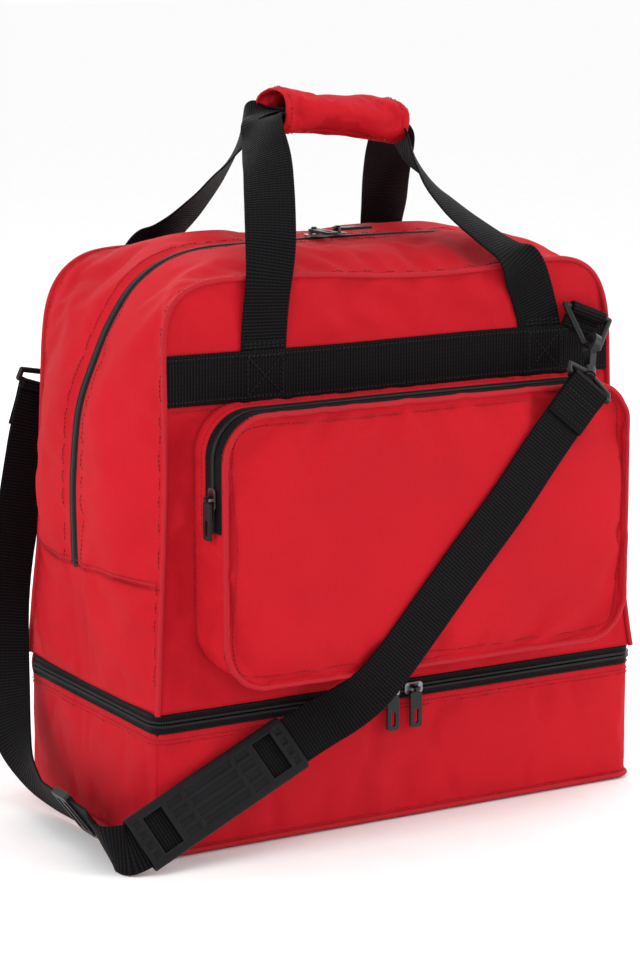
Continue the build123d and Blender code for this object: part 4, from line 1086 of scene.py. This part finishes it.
# the base zip runs round the left side, the front and the right side
zip_path = np.vstack([left_edge[left_edge[:, 1] < 107][::-1][:-1], front_edge[:-1],
                      right_edge[right_edge[:, 1] < 107]]) * MM
zip_path = np.hstack([spaced(zip_path, 420), np.zeros((420, 1))])
zip_out = away_from_core(zip_path)
for level, node, rides, heights, stands, coil_z, row_z in (
    ("low", "lower", "base", (0.1006, 0.1035, 0.1062, 0.1084), (0.0, 0.0005, 0.0003, 0.0), 0.1073, 0.1022),
    ("high", "upper", "upper", (0.1096, 0.1118, 0.1145, 0.1174), (0.0, 0.0003, 0.0005, 0.0), 0.1107, 0.1158),
):
    tape = np.stack([zip_path + [0, 0, z] + zip_out * (s - 0.0002) for z, s in zip(heights, stands)], 1)
    sheet_piece(f"zip_base_tape_{level}", tape, rides, "zip_tape", [f"base_zip_{node}_tape"], solid=0.0012,
                outward=(0, 0, 0.109))
    teeth(f"zip_base_coil_{level}", zip_path + [0, 0, coil_z] + zip_out * 0.0002, zip_out, rides,
          [f"base_zip_{node}_coil"], half=0.0013)
    row = zip_path + [0, 0, row_z] + zip_out * 0.0004
    stitches(f"stitches_zip_tape_{level}", [(row, zip_out)], rides, "black_thread")

# ---- shoulder pad and strap ends ----
PAD = np.array([-0.186, -0.140, 0.0545])
pad_way = unit(np.array([0.905, 0, 0.425]))
pad_over = np.array([0.37, -0.48, -0.79])
pad_out = unit(np.cross(pad_over, pad_way))
pad_over = unit(np.cross(pad_way, pad_out))
xs, ys = np.linspace(-0.075, 0.075, 201), np.linspace(-0.0235, 0.0235, 65)
gx, gy = np.meshgrid(xs, ys, indexing="ij")


def bar(x0, x1, y, half, depth):
    """A moulded recess from x0 to x1 along the pad, with sloping sides."""
    soft = 0.0007
    inside = (np.clip((gx - x0) / soft, 0, 1) * np.clip((x1 - gx) / soft, 0, 1)
              * np.clip((half - np.abs(gy - y)) / soft, 0, 1))
    return inside * depth


sink = np.zeros_like(gx)
for y in (-0.0138, -0.0046, 0.0046, 0.0138):
    for x0, x1 in ((-0.072, -0.0655), (-0.040, -0.0255), (-0.0225, 0.0225), (0.0255, 0.040), (0.0655, 0.072)):
        sink = np.maximum(sink, bar(x0, x1, y, 0.0031, 0.0014))
top_z = 0.0042 * np.sqrt(np.clip(1 - (np.abs(gy) / 0.0235) ** 7, 0, 1)) - sink
low_z = -0.0040 * np.sqrt(np.clip(1 - (np.abs(gy) / 0.0235) ** 7, 0, 1))
windows = [(np.abs(gx - x) < 0.0095) & (np.abs(gy) < 0.0165) for x in (-0.0535, 0.0535)]
near_window = np.zeros_like(gx)
for x in (-0.0535, 0.0535):
    gap = np.maximum(np.abs(gx - x) - 0.0095, np.abs(gy) - 0.0165)
    near_window = np.maximum(near_window, np.exp(-(np.clip(gap, 0, 1) / 0.0014) ** 2) * (gap > -0.0012))
top_z = top_z + near_window * 0.0005
both_z = np.concatenate([top_z, low_z[:, ::-1][:, 1:]], 1)
both_x = np.concatenate([gx, gx[:, ::-1][:, 1:]], 1)
both_y = np.concatenate([gy, gy[:, ::-1][:, 1:]], 1)
sleeve_pad = (PAD + pad_way * both_x[..., None] + pad_over * both_y[..., None] + pad_out * both_z[..., None])
hole = windows[0] | windows[1]
skip = np.zeros((sleeve_pad.shape[0] - 1, sleeve_pad.shape[1] - 1), bool)
skip[:, :64] = hole[:-1, :-1] & hole[1:, 1:] & hole[1:, :-1] & hole[:-1, 1:]
pad = sheet_piece("shoulder_pad_rubber", sleeve_pad, "shoulder_pad", "pad_rubber", ["shoulder_pad"],
                  solid=0.0017, smooth=0, outward=tuple(PAD), skip=skip)

fold_rows, folds = [], []
for end_name, (middle, way), ahead_point in (("front", STRAP[0], strap_points[1]),
                                             ("back", STRAP[-1], strap_points[-2])):
    middle = np.array(middle) * MM
    way = unit(np.array(way))
    leave = unit(ahead_point - middle)
    way = unit(way - leave * way.dot(leave))
    behind = np.cross(way, leave)
    if end_name == "front":
        behind = behind if behind[1] < 0 else -behind
    else:
        behind = behind if behind[0] < 0 else -behind
    tail = [middle + leave * s + behind * (0.0038 - min(s, 0.014) / 0.014 * 0.0014) for s in
            np.linspace(0.0006, 0.036, 16)]
    over_bar = [middle + 0.0038 * (-leave * math.sin(a) + behind * -math.cos(a))
                for a in np.linspace(0, math.pi, 14)]
    line = np.array([middle + leave * 0.004 - behind * 0.0034] + over_bar + tail)
    folds.append(ribbon(f"strap_fold_{end_name}", line, way, "upper", "black_webbing",
                        thick=0.0018))
    for s in (0.012, 0.016, 0.031):
        at = middle + leave * s + behind * (0.0033)
        fold_rows.append((np.array([at - way * 0.017, at + way * 0.017]), behind))
thread = stitches("stitches_strap", fold_rows, "upper", "black_thread", size=0.0026,
                  radius=0.00038)

# each ring hangs in a loop of webbing sewn to the band; the tail's points are (behind, below) the ring's bar
TAB_TAIL = ((0.0039, 0.0045), (0.0043, 0.0065), (0.0046, 0.0085), (0.0048, 0.0105), (0.0049, 0.0125),
            (0.0049, 0.0165))
tab_rows = []
for end_name, facing in (("front", -1), ("back", 1)):
    fall = math.radians(21)
    centre = np.array([-facing * (0.170 if facing < 0 else 0.172), facing * 0.1257, 0.407])
    along = np.array([math.cos(fall), 0, facing * math.sin(fall)])
    upward = np.array([-facing * math.sin(fall), 0, math.cos(fall)])
    away = np.array([0, facing, 0])
    loop = [centre + away * 0.00385 * math.cos(t) + upward * 0.0046 * math.sin(t)
            for t in np.radians(np.linspace(-100, 215, 30))]
    tail = [centre - away * a - upward * b for a, b in TAB_TAIL]
    line = soften(spaced(np.array(loop + tail), 60), 3)
    ribbon(f"ring_loop_{end_name}", line, along, "upper", "black_webbing",
           [f"{end_name}_ring_tab"], width=0.035, thick=0.0017)
    for drop in (0.0105, 0.0145):
        at = centre - away * 0.0039 - upward * drop
        tab_rows.append((spaced([at - along * 0.016, at + along * 0.016], 20), away))
stitches("stitches_ring_loops", tab_rows, "upper", "black_thread", size=0.0028,
         radius=0.00045)

size = {"cad": [list(v) for v in cad_box], "visual": [list(v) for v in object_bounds()]}
